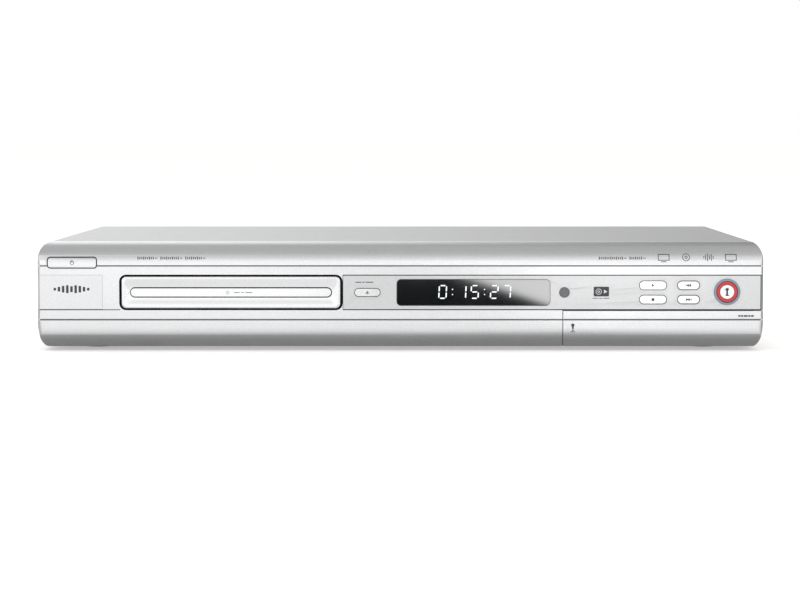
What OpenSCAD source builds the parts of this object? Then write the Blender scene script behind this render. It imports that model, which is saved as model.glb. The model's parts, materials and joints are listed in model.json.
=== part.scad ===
// A slim disc recorder: a silver moulded front on a folded steel case, with a disc drive,
// circuit boards and sockets inside. The origin is on the table under the middle of the
// whole object; +X is to the right of someone facing the front, +Y goes to the back, +Z up.
// All sizes are in millimetres.

/* [Case] */
// Width of the front moulding
overall_w = 435; // [400:1:560]
// Height of the front moulding above the table
overall_h = 65; // [62:1:90]
// Depth from the front plane to the outside of the rear panel
body_d = 285; // [275:1:380]
// How far the aerial sockets stand out behind the rear panel
socket_reach = 10; // [8:1:14]
// Thickness of the steel sheet of the cover
cover_t = 0.8; // [0.6:0.1:1.2]
// Thickness of the steel of the base and the rear panel
base_t = 1.0; // [0.8:0.1:1.6]
// How much narrower the steel case is than the front, on each side
case_inset = 2.5; // [1:0.5:5]
// Height of the feet
foot_h = 6; // [5:0.5:10]
// Radius of the feet
foot_r = 11; // [8:1:14]

/* [Front moulding] */
// Wall thickness of the front moulding
bezel_wall = 2.4; // [2:0.1:3]
// Depth of the front moulding, front to back
bezel_d = 18; // [16:1:24]
// Gap between the front moulding and the table
bezel_lift = 2.5; // [2:0.5:4]
// Radius of the rounded nose along the top edge
nose_r = 14; // [10:1:16]
// Radius of the rounded chin along the bottom edge
chin_r = 16; // [12:1:20]
// How far the middle of the front is set back from the nose and the chin
step_d = 0.8; // [0.4:0.1:1.5]
// Width of the shadow grooves along the front
groove_w = 0.8; // [0.4:0.1:1]
// Depth of the shadow grooves
groove_d = 1.1; // [0.4:0.1:1.2]

/* [Front band] */
// Height of the lower edge of the band above the table
band_z0 = 24.4; // [22:0.1:28]
// Height of the upper edge of the band above the table
band_z1 = 45.7; // [44:0.1:50]
// Distance from the left end of the front to the middle of the tray
tray_from_left = 116; // [110:1:130]
// Width of the tray door
door_w = 131; // [131:1:140]
// Height of the tray door
door_h = 19.2; // [18:0.1:20]
// Gap round the tray door
door_gap = 1.4; // [1:0.1:2]
// Thickness of the tray door
door_t = 3.5; // [3:0.1:4]
// Thickness of the control panel
panel_t = 2.4; // [2:0.1:3]
// Gap round the control panel
panel_gap = 0.6; // [0.3:0.1:0.8]
// Width of the display window
window_w = 92; // [80:1:100]
// Height of the display window
window_h = 15.9; // [12:0.1:17]
// Distance from the left edge of the control panel to the display window
window_from_panel = 32; // [30:1:36]

/* [Buttons] */
// Travel of the buttons
button_travel = 0.8; // [0.5:0.1:1]
// Height of the pill-shaped buttons
button_h = 5.0; // [4:0.1:5.5]
// Gap round a button in its hole
button_gap = 0.4; // [0.2:0.05:0.4]
// Height of the soft rim round each button hole
rim_h = 0.4; // [0.2:0.1:0.6]
// Width of the standby button
standby_w = 28.8; // [24:0.1:34]
// Height of the standby button
standby_h = 5.8; // [5:0.1:6.5]
// Radius of the record button's collar
collar_r = 7.9; // [7:0.1:8.5]
// Radius of the red ring of the record button
ring_r = 6.3; // [5.6:0.1:6.8]
// Radius of the cap in the middle of the record button
cap_r = 4.3; // [3.8:0.1:4.6]

/* [Socket flap] */
// Distance from the right end of the front to the left edge of the flap
flap_from_right = 120; // [110:1:140]
// Thickness of the flap
flap_t = 2.0; // [1.6:0.1:2.4]
// Gap round the flap
flap_gap = 0.45; // [0.2:0.05:0.5]
// Radius of the flap's hinge pins
flap_pin_r = 1.2; // [1:0.1:1.4]
// Radius of the contact hole of a phono socket
phono_hole_r = 1.65; // [1.6:0.05:1.7]
// Outer radius of the metal sleeve of a phono socket
phono_r = 4.15; // [4:0.05:4.3]
// Length of the metal sleeve of a phono socket
phono_l = 8.5; // [8:0.5:9]

/* [Disc tray] */
// Radius of the recess for the disc
disc_recess_r = 60.5; // [60.2:0.1:61]
// Depth of the recess for the disc
disc_recess_d = 4.6; // [4.4:0.1:5]
// Width of the tray
tray_w = 129.6; // [126:0.2:129.6]
// Thickness of the tray
tray_t = 7.5; // [7.4:0.1:8]
// Travel of the tray
tray_travel = 140; // [120:1:140]
// Width of the slot in the tray for the pickup
tray_slot_w = 44; // [42:1:50]

/* [Drive] */
// Thickness of the side walls of the drive frame
frame_wall = 3.5; // [2.5:0.1:4]
// Length of the drive frame, front to back
frame_l = 186.5; // [186:0.5:200]
// Gear module of the tray's rack
rack_module = 1.0; // [1:0.1:1.1]
// Teeth of the gear that drives the rack
rack_gear_teeth = 24; // [22:1:24]
// Gear module of the reduction pair
step_module = 0.6; // [0.5:0.1:0.6]
// Teeth of the large gear of the reduction pair
step_gear_teeth = 40; // [36:1:40]
// Teeth of the small gear of the reduction pair
step_pinion_teeth = 18; // [18:1:20]
// Backlash left between gear flanks
backlash = 0.16; // [0.1:0.02:0.3]
// Radial running clearance of pins in their holes
run_fit = 0.05; // [0.03:0.01:0.1]
// Angle through which the traverse drops when the tray is to open
traverse_drop_deg = 5.6; // [4:0.1:5.6]
// Travel of the cam slider that lifts the traverse
cam_travel = 16; // [14:1:16]
// Travel of the pickup
pickup_travel = 34; // [30:1:34]

/* [Boards] */
// Thickness of the circuit boards
board_t = 1.6; // [1.2:0.1:2]
// Height of the underside of the main boards above the base
standoff_h = 5; // [4:0.5:6]
// Width of the fan
fan_w = 40; // [40:1:45]
// Depth of the fan
fan_d = 10; // [10:1:15]

/* [Hidden] */
$fn = 64;
eps = 0.01;

// Overall places
front_y = -(body_d + socket_reach) / 2;
rear_y = front_y + body_d;
half_w = overall_w / 2;
case_w = overall_w - 2 * case_inset;
cover_z1 = overall_h - 0.5;
base_z0 = foot_h;
base_z1 = foot_h + base_t;
case_y0 = front_y + bezel_d;
nose_z = overall_h - nose_r;
low_line_z = 18.7;
chin_z = low_line_z - 4.5;
nose_end_a = 7;
nose_end_b = 12.5;
chin_end_a = 6;
chin_end_b = 16.5;
plan_corner_r = 4;

// Band places
tray_x = -half_w + tray_from_left;
door_z = (band_z0 + band_z1) / 2;
panel_x0 = tray_x + door_w / 2 + door_gap + 0.3;
band_x1 = half_w - 1.3;
panel_x1 = band_x1 - panel_gap;
panel_y = front_y + step_d + 0.2;
panel_back_y = panel_y + panel_t;
window_x = panel_x0 + window_from_panel + window_w / 2;
window_r = 2.8;
ir_x = window_x + window_w / 2 + 8.5;
ir_r = 3.1;
record_x = half_w - 21.9;
record_z = door_z + 0.3;

// Buttons: each has its middle, width and height
key_row_z = 4.25;
open_close_at = [panel_x0 + 14.5, door_z];
open_close_size = [15, button_h - 0.4];
key_left_x = record_x - 44.4;
key_right_x = record_x - 23.1;
key_left_w = 16;
key_right_w = 13;
key_flange = 1.2;
switch_y = front_y + 9;
switch_body = 6;
board_front_y = front_y + 13;
stem_r = 1.5;
standby_x = -half_w + 21;
standby_z = nose_z + 1.9;
standby_r = 1.5;
standby_switch_y = front_y + 10.5;

// Flap places
flap_x0 = half_w - flap_from_right;
flap_z1 = band_z0;
flap_axis_y = front_y + 6.5;
flap_axis_z = 8;
flap_back = 9;
flap_sweep_r = 6.5;
flap_ear_x = half_w - 8;
plate_y = front_y + 13;
plate_t = 1.5;
flap_jack_z = 16.6;
flap_jack_x = [for (k = [0:2]) flap_x0 + 33 + 16 * k];
flap_svideo_x = flap_x0 + 17;
flap_dv_x = flap_x0 + 86;

// Tray and drive places
disc_y = front_y + 0.6 + door_t + 5.4 + disc_recess_r;
tray_z0 = door_z - 2.05;
tray_z1 = tray_z0 + tray_t;
tray_y0 = front_y + 0.6 + door_t;
tray_l = 183.5;
disc_floor_z = tray_z1 - disc_recess_d;
small_recess_r = 40.5;
frame_y0 = front_y + 9;
frame_half = tray_w / 2 + 0.7;
frame_z0 = base_z1 + 1.5;
frame_z1 = overall_h - 19;
deck_z = 22;
deck_t = 1.5;
deck_l = 24;
motor_r = 10.5;
floor_t = 1.5;
ledge_z1 = tray_z0 - 0.1;
rack_x = tray_x - 54;
rack_gear_r = rack_module * rack_gear_teeth / 2;
step_gear_r = step_module * step_gear_teeth / 2;
step_pinion_r = step_module * step_pinion_teeth / 2;
tray_gear_at = [rack_x + rack_gear_r, front_y + 35.5];
gear_angle = -45;
pulley_gear_at = tray_gear_at + (step_gear_r + step_pinion_r) * [cos(gear_angle), sin(gear_angle)];
motor_at = [tray_x - 2.5, front_y + 21.5];
pulley_r = 9;
motor_pulley_r = 2.5;
belt_t = 1.2;
axle_r = 1.5;
slider_y = disc_y - 34.5;
slider_t = 3;
cam_pin_r = 1.4;
traverse_z0 = deck_z + 2;
traverse_t = 3;
traverse_z1 = traverse_z0 + traverse_t;
pickup_y = disc_y + 26;
pickup_l = 24;
rod_end_room = 10;
pivot_y = pickup_y + pickup_l / 2 + pickup_travel + rod_end_room;
pivot_z = traverse_z0 + 1.5;
pivot_r = 2;
pin_drop = (pivot_y - slider_y) * sin(traverse_drop_deg);
traverse_half = 40;
rod_r = 1.5;
feed_r = 1.3;
rod_z = traverse_z1 + 2.5;
rod_x = 26;
screw_x = 32;
screw_z = rod_z - 0.9;
platter_z = disc_floor_z + 1.5;

// Board places
board_z0 = base_z1 + standoff_h;
board_z1 = board_z0 + board_t;
power_at = [-half_w + 12, rear_y - 68];
power_size = [176, 62];
av_at = [-12, rear_y - 114];
av_size = [half_w, 108];
main_at = [-12, front_y + 52];
main_size = [half_w, 112];
inlet_x = -half_w + 34;
inlet_z = board_z1 + 10;
fan_lift = 1.9;
fan_at = [-half_w + 110, board_z1 + fan_lift + fan_w / 2];
phono_pitch = 16;
phono_x = [for (k = [0:4]) -4 + phono_pitch * k];
phono_low_z = 22.5;
phono_high_z = 40;
scart_x = 100;
scart_w = 48;
scart_h = 16;
scart_z = [phono_low_z - 0.5, phono_low_z + 20.5];
tuner_x = half_w - 48;
aerial_z = 26;
screw_head_r = 2.8;
screw_head_h = 1.9;
screw_r = 1.45;
side_screw_y = [rear_y - 40, front_y + 60];
side_screw_z = 15;
rear_screw_x = [-half_w + 60, 20, half_w - 60];
rear_screw_z = cover_z1 - 5;

// ---------------------------------------------------------------- helpers

// Extrudes a flat (x, z) shape from y0 backwards by d.
module along_y(y0, d) translate([0, y0 + d, 0]) rotate([90, 0, 0]) linear_extrude(d) children();

// Extrudes a flat (y, z) shape from x0 to the right by l.
module along_x(x0, l) translate([x0, 0, 0]) rotate([90, 0, 90]) linear_extrude(l) children();

// Extrudes a flat (x, y) shape from z0 up by h.
module along_z(z0, h) translate([0, 0, z0]) linear_extrude(h) children();

// A box given by its lowest and highest corners.
module span(low, high) translate(low) cube(high - low);

// A rectangle with round corners, in the middle of the plane.
module rounded(w, h, r) {
    union() {
        square([w - 2 * r, h], center = true);
        square([w, h - 2 * r], center = true);
        for (x = [-1, 1], y = [-1, 1]) translate([x * (w / 2 - r), y * (h / 2 - r)]) circle(r);
    }
}

// A rectangle with fully round ends.
module pill(w, h) {
    union() {
        square([w - h, h], center = true);
        for (x = [-1, 1]) translate([x * (w - h) / 2, 0]) circle(h / 2);
    }
}

// A round bar along Y from y0 backwards by l, at at = [x, z].
module bar_y(at, y0, l, r) translate([at[0], y0, at[1]]) rotate([-90, 0, 0]) cylinder(h = l, r = r);

// A round bar along X from x0 to the right by l, at at = [y, z].
module bar_x(at, x0, l, r) translate([x0, at[0], at[1]]) rotate([0, 90, 0]) cylinder(h = l, r = r);

// A round bar along Z from z0 up by l, at at = [x, y].
module bar_z(at, z0, l, r) translate([at[0], at[1], z0]) cylinder(h = l, r = r);

// Points of an elliptical arc round c.
function arc(c, a, b, from, to, n) =
    [for (k = [0:n]) let (t = from + (to - from) * k / n) [c[0] + a * cos(t), c[1] + b * sin(t)]];

function mirrored(points) = [for (k = [len(points) - 1:-1:0]) [-points[k][0], points[k][1]]];

// Involute gear outline: module m, z teeth, the flanks thinned by play.
pressure = 20;
function involute(base, r) = let (t = sqrt(max(0, r * r / (base * base) - 1))) t * 180 / PI - atan(t);
function tooth_half_angle(m, z, play, r) =
    let (base = m * z / 2 * cos(pressure), pitch = m * z / 2)
    90 / z - play / 2 / pitch * 180 / PI + involute(base, pitch) - involute(base, max(r, base));
function gear_points(m, z, play) =
    let (root = m * z / 2 - 1.25 * m, tip = m * z / 2 + 0.95 * m, base = m * z / 2 * cos(pressure),
         flank = max(root, base), n = 4)
    [for (k = [0:z - 1])
        let (mid = 360 * k / z, low = tooth_half_angle(m, z, play, flank))
        each concat(
            [root * [cos(mid - low), sin(mid - low)]],
            [for (i = [0:n]) let (r = flank + (tip - flank) * i / n, h = tooth_half_angle(m, z, play, r))
                r * [cos(mid - h), sin(mid - h)]],
            [for (i = [n:-1:0]) let (r = flank + (tip - flank) * i / n, h = tooth_half_angle(m, z, play, r))
                r * [cos(mid + h), sin(mid + h)]],
            [root * [cos(mid + low), sin(mid + low)]]
        )];

// ---------------------------------------------------------------- front form

// Side view of the front, i inside its surface, b deep, in (y, z).
module nose_profile(i, b) {
    union() {
        intersection() {
            translate([nose_r, nose_z]) circle(nose_r - i, $fn = 128);
            translate([0, nose_z]) square([nose_r, nose_r]);
        }
        translate([nose_r, nose_z]) square([b - nose_r, nose_r - i]);
        translate([step_d + i, low_line_z]) square([b - step_d - i, nose_z - low_line_z]);
        translate([i, chin_z]) square([b - i, low_line_z - chin_z]);
        intersection() {
            translate([chin_r, chin_z]) circle(chin_r - i, $fn = 128);
            translate([0, bezel_lift + i]) square([chin_r, chin_z - bezel_lift - i]);
        }
        translate([chin_r, bezel_lift + i]) square([b - chin_r, chin_z - bezel_lift - i]);
    }
}

// Front view outline, i inside its edge, in (x, z).
module front_outline(i) {
    right = concat(
        arc([half_w - chin_end_a, bezel_lift + chin_end_b], chin_end_a - i, chin_end_b - i, -90, 0, 16),
        arc([half_w - nose_end_a, overall_h - nose_end_b], nose_end_a - i, nose_end_b - i, 0, 90, 16)
    );
    polygon(concat(right, mirrored(right)));
}

// Top view outline, i inside its edge and b deep, in (x, y from the front).
module plan_outline(i, b) {
    right = concat(
        arc([half_w - plan_corner_r, plan_corner_r], plan_corner_r - i, plan_corner_r - i, -90, 0, 8),
        [[half_w - i, b]]
    );
    polygon(concat(right, mirrored(right)));
}

// The solid form of the front, i inside its surface and b deep.
module front_form(i, b) {
    intersection() {
        along_x(-half_w - 1, overall_w + 2) translate([front_y, 0]) nose_profile(i, b);
        along_y(front_y - 1, b + 1) front_outline(i);
        along_z(0, overall_h + 1) translate([0, front_y]) plan_outline(i, b);
    }
}

module standby_outline(grow) {
    translate([standby_x, standby_z])
        rounded(standby_w + 2 * grow, standby_h + 2 * grow, standby_r + grow);
}

door_r = 2.8;
badge_margin = 11.5;
badge_x1 = tray_x - door_w / 2 - badge_margin;
badge_z0 = band_z0 + 0.6;
badge_z1 = band_z1 - 0.3;
badge_t = 1.2;

// ---------------------------------------------------------------- front parts

module front_bezel() color("silver") {
    band_d = step_d + bezel_wall + 0.4;
    difference() {
        union() {
            difference() {
                front_form(0, bezel_d);
                front_form(bezel_wall, bezel_d + 1);
                // shadow grooves under the nose and over the chin
                for (z = [nose_z, low_line_z])
                    span([-half_w - 1, front_y - 1, z - groove_w / 2],
                         [half_w + 1, front_y + step_d + groove_d, z + groove_w / 2]);
                // bay of the socket flap
                span([flap_x0 - flap_gap, front_y - 1, 0],
                     [half_w + 1, front_y + flap_back + 0.4, flap_z1 + eps]);
                bar_x([flap_axis_y, flap_axis_z], flap_x0 - flap_gap, flap_from_right + 2, flap_sweep_r);
            }
            // cheek that holds the flap's left pin
            difference() {
                span([flap_x0 - flap_gap - 2.4, front_y + 1.9, bezel_lift + 1.8],
                     [flap_x0 - flap_gap, front_y + bezel_d, flap_z1]);
                front_cut_below_chin();
            }
            // ear that holds the flap's right pin
            bar_x([flap_axis_y, flap_axis_z], flap_ear_x, 2, 2.2);
            along_x(flap_ear_x, 2)
                polygon([[flap_axis_y - 1.6, flap_axis_z], [flap_axis_y + 1.2, flap_axis_z + 0.6],
                         [front_y + 10, 15], [front_y + 16, 15], [front_y + 16, 22], [front_y + 5.5, 22]]);
            span([flap_ear_x, front_y + 13, 15], [half_w - 1, front_y + 16, 22]);
            // rail behind the lower edge of the nose stiffens the long band window
            span([-half_w + 2, front_y + bezel_d - 3, band_z1 + 2.4],
                 [half_w - 2, front_y + bezel_d, band_z1 + 3.9]);
        }
        // window for the tray door and the control panel
        along_y(front_y - 1, band_d + 1) translate([tray_x, door_z])
            rounded(door_w + 2 * door_gap, band_z1 - band_z0, door_r + door_gap);
        span([panel_x0 - 0.3, front_y - 1, band_z0], [band_x1, front_y + band_d, band_z1]);
        along_y(front_y + 3, bezel_d)
            translate([tray_x, door_z]) square([door_w + 2 * door_gap, band_z1 - band_z0], center = true);
        // hole of the standby button
        along_y(front_y - 1, 8) standby_outline(button_gap + 0.3);
        // seat of the badge plate
        badge_region(0.1);
        // holes for the flap's pins
        bar_x([flap_axis_y, flap_axis_z], flap_x0 - 3, 3, flap_pin_r + run_fit);
        bar_x([flap_axis_y, flap_axis_z], flap_ear_x - 1, 4, flap_pin_r + run_fit);
        // holes of the fixing tabs on the underside
        for (x = [-half_w + 60, 0]) bar_z([x, front_y + 14], 0, 8, 1.6);
    }
}

// What lies in front of and under the chin, so that the cheek follows the moulding's surface.
module front_cut_below_chin() {
    difference() {
        span([flap_x0 - 10, front_y - 1, 0], [flap_x0 + 1, front_y + bezel_d + 1, flap_z1 + 1]);
        front_form(0.5, bezel_d + 2);
    }
}

// The shell at the left end that the badge plate fills, grown by g.
module badge_region(g) {
    difference() {
        span([-half_w - 1, front_y - 1, badge_z0 - g], [badge_x1 + g, front_y + bezel_d - 4, badge_z1 + g]);
        front_form(badge_t + g, bezel_d + 1);
    }
}

module badge_plate() color("gainsboro") {
    intersection() {
        difference() {
            front_form(0.1, bezel_d - 4.1);
            front_form(badge_t, bezel_d + 1);
        }
        span([-half_w - 1, front_y - 1, badge_z0], [badge_x1, front_y + bezel_d - 4.1, badge_z1]);
    }
}

// Each key of the control panel: middle, width, height.
panel_keys = [
    [open_close_at, open_close_size[0], open_close_size[1]],
    [[key_left_x, door_z + key_row_z], key_left_w, button_h],
    [[key_left_x, door_z - key_row_z], key_left_w, button_h],
    [[key_right_x, door_z + key_row_z], key_right_w, button_h],
    [[key_right_x, door_z - key_row_z], key_right_w, button_h]
];

module control_panel() color("gainsboro") {
    z0 = band_z0 + panel_gap;
    z1 = band_z1 - panel_gap;
    difference() {
        union() {
            span([panel_x0, panel_y, z0], [panel_x1, panel_back_y, z1]);
            for (k = panel_keys)
                along_y(panel_y - rim_h, rim_h + 1)
                    translate(k[0]) pill(k[1] + 2.6, k[2] + 2.6);
            along_y(panel_y - rim_h / 2, 1) translate([record_x, record_z]) circle(collar_r + 0.8);
            // flanges that grip the back of the moulding
            span([panel_x0, panel_back_y - 0.1, z1 - 1],
                 [half_w - bezel_wall - 0.6, panel_back_y + 0.9, z1 + 1.6]);
            span([panel_x0, panel_back_y - 0.1, z0 - 1.6], [flap_x0 - 3.5, panel_back_y + 0.9, z0 + 1]);
        }
        for (k = panel_keys)
            along_y(panel_y - 2, panel_t + 3)
                translate(k[0]) pill(k[1] + 2 * button_gap, k[2] + 2 * button_gap);
        bar_y([record_x, record_z], panel_y - 2, panel_t + 3, collar_r - 0.5);
        bar_y([record_x, record_z], panel_y - 2, 3.2, collar_r + 0.05);
        bar_y([ir_x, door_z], panel_y - 2, panel_t + 3, ir_r - 0.5);
        bar_y([ir_x, door_z], panel_y - 2, 3.2, ir_r + 0.1);
        along_y(panel_y - 1, 2.6) translate([window_x, door_z])
            rounded(window_w + 0.2, window_h + 0.2, window_r);
        along_y(panel_y - 1, panel_t + 2)
            translate([window_x, door_z]) rounded(window_w - 3, window_h - 3, window_r - 1.3);
    }
}

module display_window() color("black") {
    along_y(panel_y - 0.1, 1.6) translate([window_x, door_z]) rounded(window_w, window_h, window_r - 0.1);
}

module ir_lens() color("dimgray") {
    bar_y([ir_x, door_z], panel_y - 0.15, 1.3, ir_r);
    bar_y([ir_x, door_z], panel_y + 1.0, 2.6, ir_r - 0.6);
}

module record_collar() color("lightsteelblue") {
    translate([record_x, front_y, record_z]) rotate([-90, 0, 0]) difference() {
        union() {
            cylinder(h = step_d + 1.3, r = collar_r);
            cylinder(h = step_d + panel_t + 0.6, r = collar_r - 0.6);
        }
        translate([0, 0, -1]) cylinder(h = 10, r = ring_r + 0.15);
    }
}

module record_ring() color("firebrick") {
    translate([record_x, front_y + 0.25, record_z]) rotate([-90, 0, 0]) difference() {
        union() {
            cylinder(h = 5.2, r = ring_r);
            translate([0, 0, 4.0]) cylinder(h = 1.2, r = ring_r + 1.1);
        }
        translate([0, 0, -1]) cylinder(h = 8, r = cap_r + 0.05);
    }
}

module record_button() color("whitesmoke") {
    translate([record_x, front_y + 0.15, record_z]) rotate([-90, 0, 0]) {
        difference() {
            cylinder(h = 5.3, r = cap_r);
            translate([0, 0, -9.6]) sphere(9.9);
        }
        translate([0, 0, 5]) cylinder(h = switch_y - button_travel - 0.1 - front_y - 5.15, r = stem_r);
    }
}

// A pill-shaped key with the flange that keeps it in the panel and the stem that works its switch.
module panel_key(k) color("whitesmoke") {
    face_y = panel_y - rim_h - 0.2;
    flange_y = panel_back_y + 0.05;
    union() {
        along_y(face_y, flange_y - face_y + 0.5) translate(k[0]) pill(k[1], k[2]);
        along_y(flange_y, 1) translate(k[0]) pill(k[1] + 2 * key_flange, k[2] + 2 * key_flange);
        bar_y(k[0], flange_y + 0.5, switch_y - button_travel - 0.1 - flange_y - 0.5, stem_r);
    }
}

module open_close_button() panel_key(panel_keys[0]);
module play_button() panel_key(panel_keys[1]);
module stop_button() panel_key(panel_keys[2]);
module back_button() panel_key(panel_keys[3]);
module next_button() panel_key(panel_keys[4]);

module standby_button() color("whitesmoke") {
    back_y = front_y + nose_r * 0.35;
    union() {
        intersection() {
            along_y(front_y + 0.1, back_y - front_y) standby_outline(0);
            along_x(standby_x - standby_w, 2 * standby_w) translate([front_y, 0]) union() {
                translate([nose_r, nose_z]) circle(nose_r - 0.1, $fn = 128);
                translate([0.1, nose_z - nose_r]) square([nose_r, nose_r]);
            }
        }
        along_y(back_y, 1.2) intersection() {
            standby_outline(key_flange);
            translate([standby_x, standby_z + 0.3])
                square([2 * standby_w, standby_h + 0.7], center = true);
        }
        bar_y([standby_x, standby_z], back_y + 1,
              standby_switch_y - button_travel - 0.1 - back_y - 1, stem_r);
    }
}

module flap_door() color("silver") {
    x0 = flap_x0;
    ear_t = 2.2;
    union() {
            intersection() {
                difference() {
                    front_form(0, bezel_d);
                    front_form(flap_t, bezel_d + 1);
                    span([-half_w, front_y - 1, low_line_z - groove_w / 2],
                         [half_w + 1, front_y + step_d + groove_d, low_line_z + groove_w / 2]);
                }
                span([x0, front_y - 1, 0], [half_w + 1, front_y + flap_back, flap_z1 - flap_gap]);
            }
            // backing of the shadow groove
            intersection() {
                front_form(0.4, bezel_d);
                span([x0, front_y + step_d + groove_d, low_line_z - groove_w],
                     [half_w, front_y + step_d + groove_d + 0.8, low_line_z + groove_w]);
            }
            // rib that carries the left pin
            intersection() {
                front_form(0.4, bezel_d);
                span([x0, front_y - 1, 0], [x0 + ear_t, front_y + flap_back, 14]);
            }
            // land that carries the right pin
            intersection() {
                front_form(0.4, bezel_d);
                bar_x([flap_axis_y, flap_axis_z], flap_ear_x + 2.4, 8, 2.3);
            }
            bar_x([flap_axis_y, flap_axis_z], x0 - flap_gap - 2, ear_t + 2, flap_pin_r);
            bar_x([flap_axis_y, flap_axis_z], flap_ear_x + 0.2, 3.5, flap_pin_r);
    }
}

module socket_plate() color("dimgray") {
    difference() {
        span([flap_x0 - flap_gap, plate_y, bezel_lift + bezel_wall + 0.3],
             [flap_ear_x - 1, plate_y + plate_t, flap_z1 - 0.2]);
        for (x = flap_jack_x) bar_y([x, flap_jack_z], plate_y - 1, plate_t + 2, phono_r + 0.25);
        bar_y([flap_svideo_x, flap_jack_z], plate_y - 1, plate_t + 2, 5.5);
        along_y(plate_y - 1, plate_t + 2) translate([flap_dv_x, flap_jack_z])
            square([9.4, 6.4], center = true);
    }
}

// Every phono socket: [x, z, y of its foot, direction it faces along Y].
phono_list = concat(
    [for (x = flap_jack_x) [x, flap_jack_z, plate_y, -1]],
    [for (x = phono_x) [x, phono_low_z, rear_y, 1]],
    [for (k = [1:4]) [phono_x[k], phono_high_z, rear_y, 1]]
);

// Places children at the foot of each phono socket, with +Z along the way it faces.
module at_phonos() {
    for (p = phono_list) translate([p[0], p[2], p[1]]) rotate([p[3] > 0 ? -90 : 90, 0, 0]) children();
}

module phono_sleeves() color("silver") {
    at_phonos() difference() {
        cylinder(h = phono_l, r = phono_r);
        translate([0, 0, -1]) cylinder(h = phono_l + 2, r = phono_r - 0.5);
    }
}

module phono_inserts() color("white") {
    at_phonos() difference() {
        union() {
            translate([0, 0, -plate_t - 9]) cylinder(h = 9 + plate_t - 0.3, r = phono_r - 0.1);
            translate([0, 0, -0.4]) cylinder(h = phono_l, r = phono_r - 0.6);
        }
        translate([0, 0, phono_l - 8.4]) cylinder(h = 10, r = phono_hole_r);
    }
    // the blocks that stand on the boards and carry the sockets
    for (x = flap_jack_x) jack_block(x, plate_y + plate_t + 0.1, jack_board_z1, flap_jack_z + 5.5);
    for (x = phono_x)
        jack_block(x, rear_y - base_t - 8.1, board_z1, (x == phono_x[0] ? phono_low_z : phono_high_z) + 5.5);
}

module jack_block(x, y, z0, z1) {
    difference() {
        span([x - 6.5, y, z0], [x + 6.5, y + 8, z1]);
        for (z = [flap_jack_z, phono_low_z, phono_high_z]) bar_y([x, z], y - 1, 10, phono_r);
    }
}

module dv_socket() color("dimgray") {
    translate([flap_dv_x, 0, flap_jack_z]) {
        difference() {
            along_y(plate_y - 1.5, 14) square([9, 6], center = true);
            along_y(plate_y - 2.5, 6) square([5.6, 2.8], center = true);
        }
        along_y(plate_y - 0.5, 6) square([4.2, 0.9], center = true);
    }
}

// A round four-pin socket, facing +Z, its foot plane at z = 0.
module s_video_socket() {
    union() {
        difference() {
            translate([0, 0, -9]) cylinder(h = 10.5, r = 5.3);
            translate([0, 0, -6]) cylinder(h = 8, r = 4.6);
        }
        translate([0, 0, -6.5]) cylinder(h = 7.3, r = 3.6);
    }
}

module s_video_sockets() color("dimgray") {
    union() {
        translate([flap_svideo_x, plate_y, flap_jack_z]) rotate([90, 0, 0]) s_video_socket();
        span([flap_svideo_x - 7, plate_y + plate_t + 0.1, jack_board_z1],
             [flap_svideo_x + 7, plate_y + 9.6, flap_jack_z + 6]);
    }
    union() {
        translate([phono_x[0], rear_y, phono_high_z]) rotate([-90, 0, 0]) s_video_socket();
        span([phono_x[0] - 6.5, rear_y - base_t - 8.1, phono_low_z + 5.6],
             [phono_x[0] + 6.5, rear_y - base_t - 0.1, phono_high_z + 6.5]);
    }
}

module front_av_board() color("darkgreen") {
    z1 = jack_board_z1;
    difference() {
        span([flap_x0 + 4, plate_y + 4, z1 - board_t], [flap_ear_x - 6, plate_y + 36, z1]);
        for (p = jack_screws) bar_z(p, z1 - board_t - 1, board_t + 2, screw_r + run_fit);
    }
}

// ---------------------------------------------------------------- front board

module front_board() color("darkgreen") {
    z1 = cover_z1 - cover_t - 3;
    along_y(board_front_y, board_t) {
        difference() {
            union() {
                translate([panel_x0 + 4, band_z0 + 1])
                    square([panel_x1 - 10 - panel_x0, z1 - band_z0 - 1]);
                translate([-half_w + 6, band_z1 + 4.5]) square([half_w, z1 - band_z1 - 4.5]);
            }
            for (x = [panel_x0 + 10, window_x + window_w / 2 + 16])
                translate([x, z1 - 4]) circle(screw_r + run_fit);
        }
    }
}

module display_tube() color("darkslategray") {
    y0 = panel_back_y + 1.5;
    along_y(y0, board_front_y - y0)
        translate([window_x, door_z]) square([window_w - 8, window_h - 1], center = true);
}

module key_switches() color("dimgray") {
    places = concat([for (k = panel_keys) k[0]], [[record_x, record_z]]);
    for (p = places) union() {
        along_y(switch_y + 0.6, board_front_y - switch_y - 0.6)
            translate(p) square([switch_body, switch_body], center = true);
        bar_y(p, switch_y, 1, 1.7);
    }
    union() {
        along_y(standby_switch_y + 0.6, board_front_y - standby_switch_y - 0.6)
            translate([standby_x, standby_z]) square([switch_body, switch_body], center = true);
        bar_y([standby_x, standby_z], standby_switch_y, 1, 1.7);
    }
}

// ---------------------------------------------------------------- tray

bar_w = 120;
bar_h = 5.2;
bar_groove = 0.6;

module tray_door() color("gainsboro") {
    y0 = front_y + 0.6;
    difference() {
        along_y(y0, door_t) translate([tray_x, door_z]) rounded(door_w, door_h, door_r);
        along_y(y0 - 1, 2.2) translate([tray_x, door_z])
            pill(bar_w + 2 * bar_groove, bar_h + 2 * bar_groove);
    }
}

module tray_door_bar() color("whitesmoke") {
    along_y(front_y + 0.25, 1.55) translate([tray_x, door_z]) pill(bar_w, bar_h);
}

rack_z0 = tray_z0 - 3;

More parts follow.
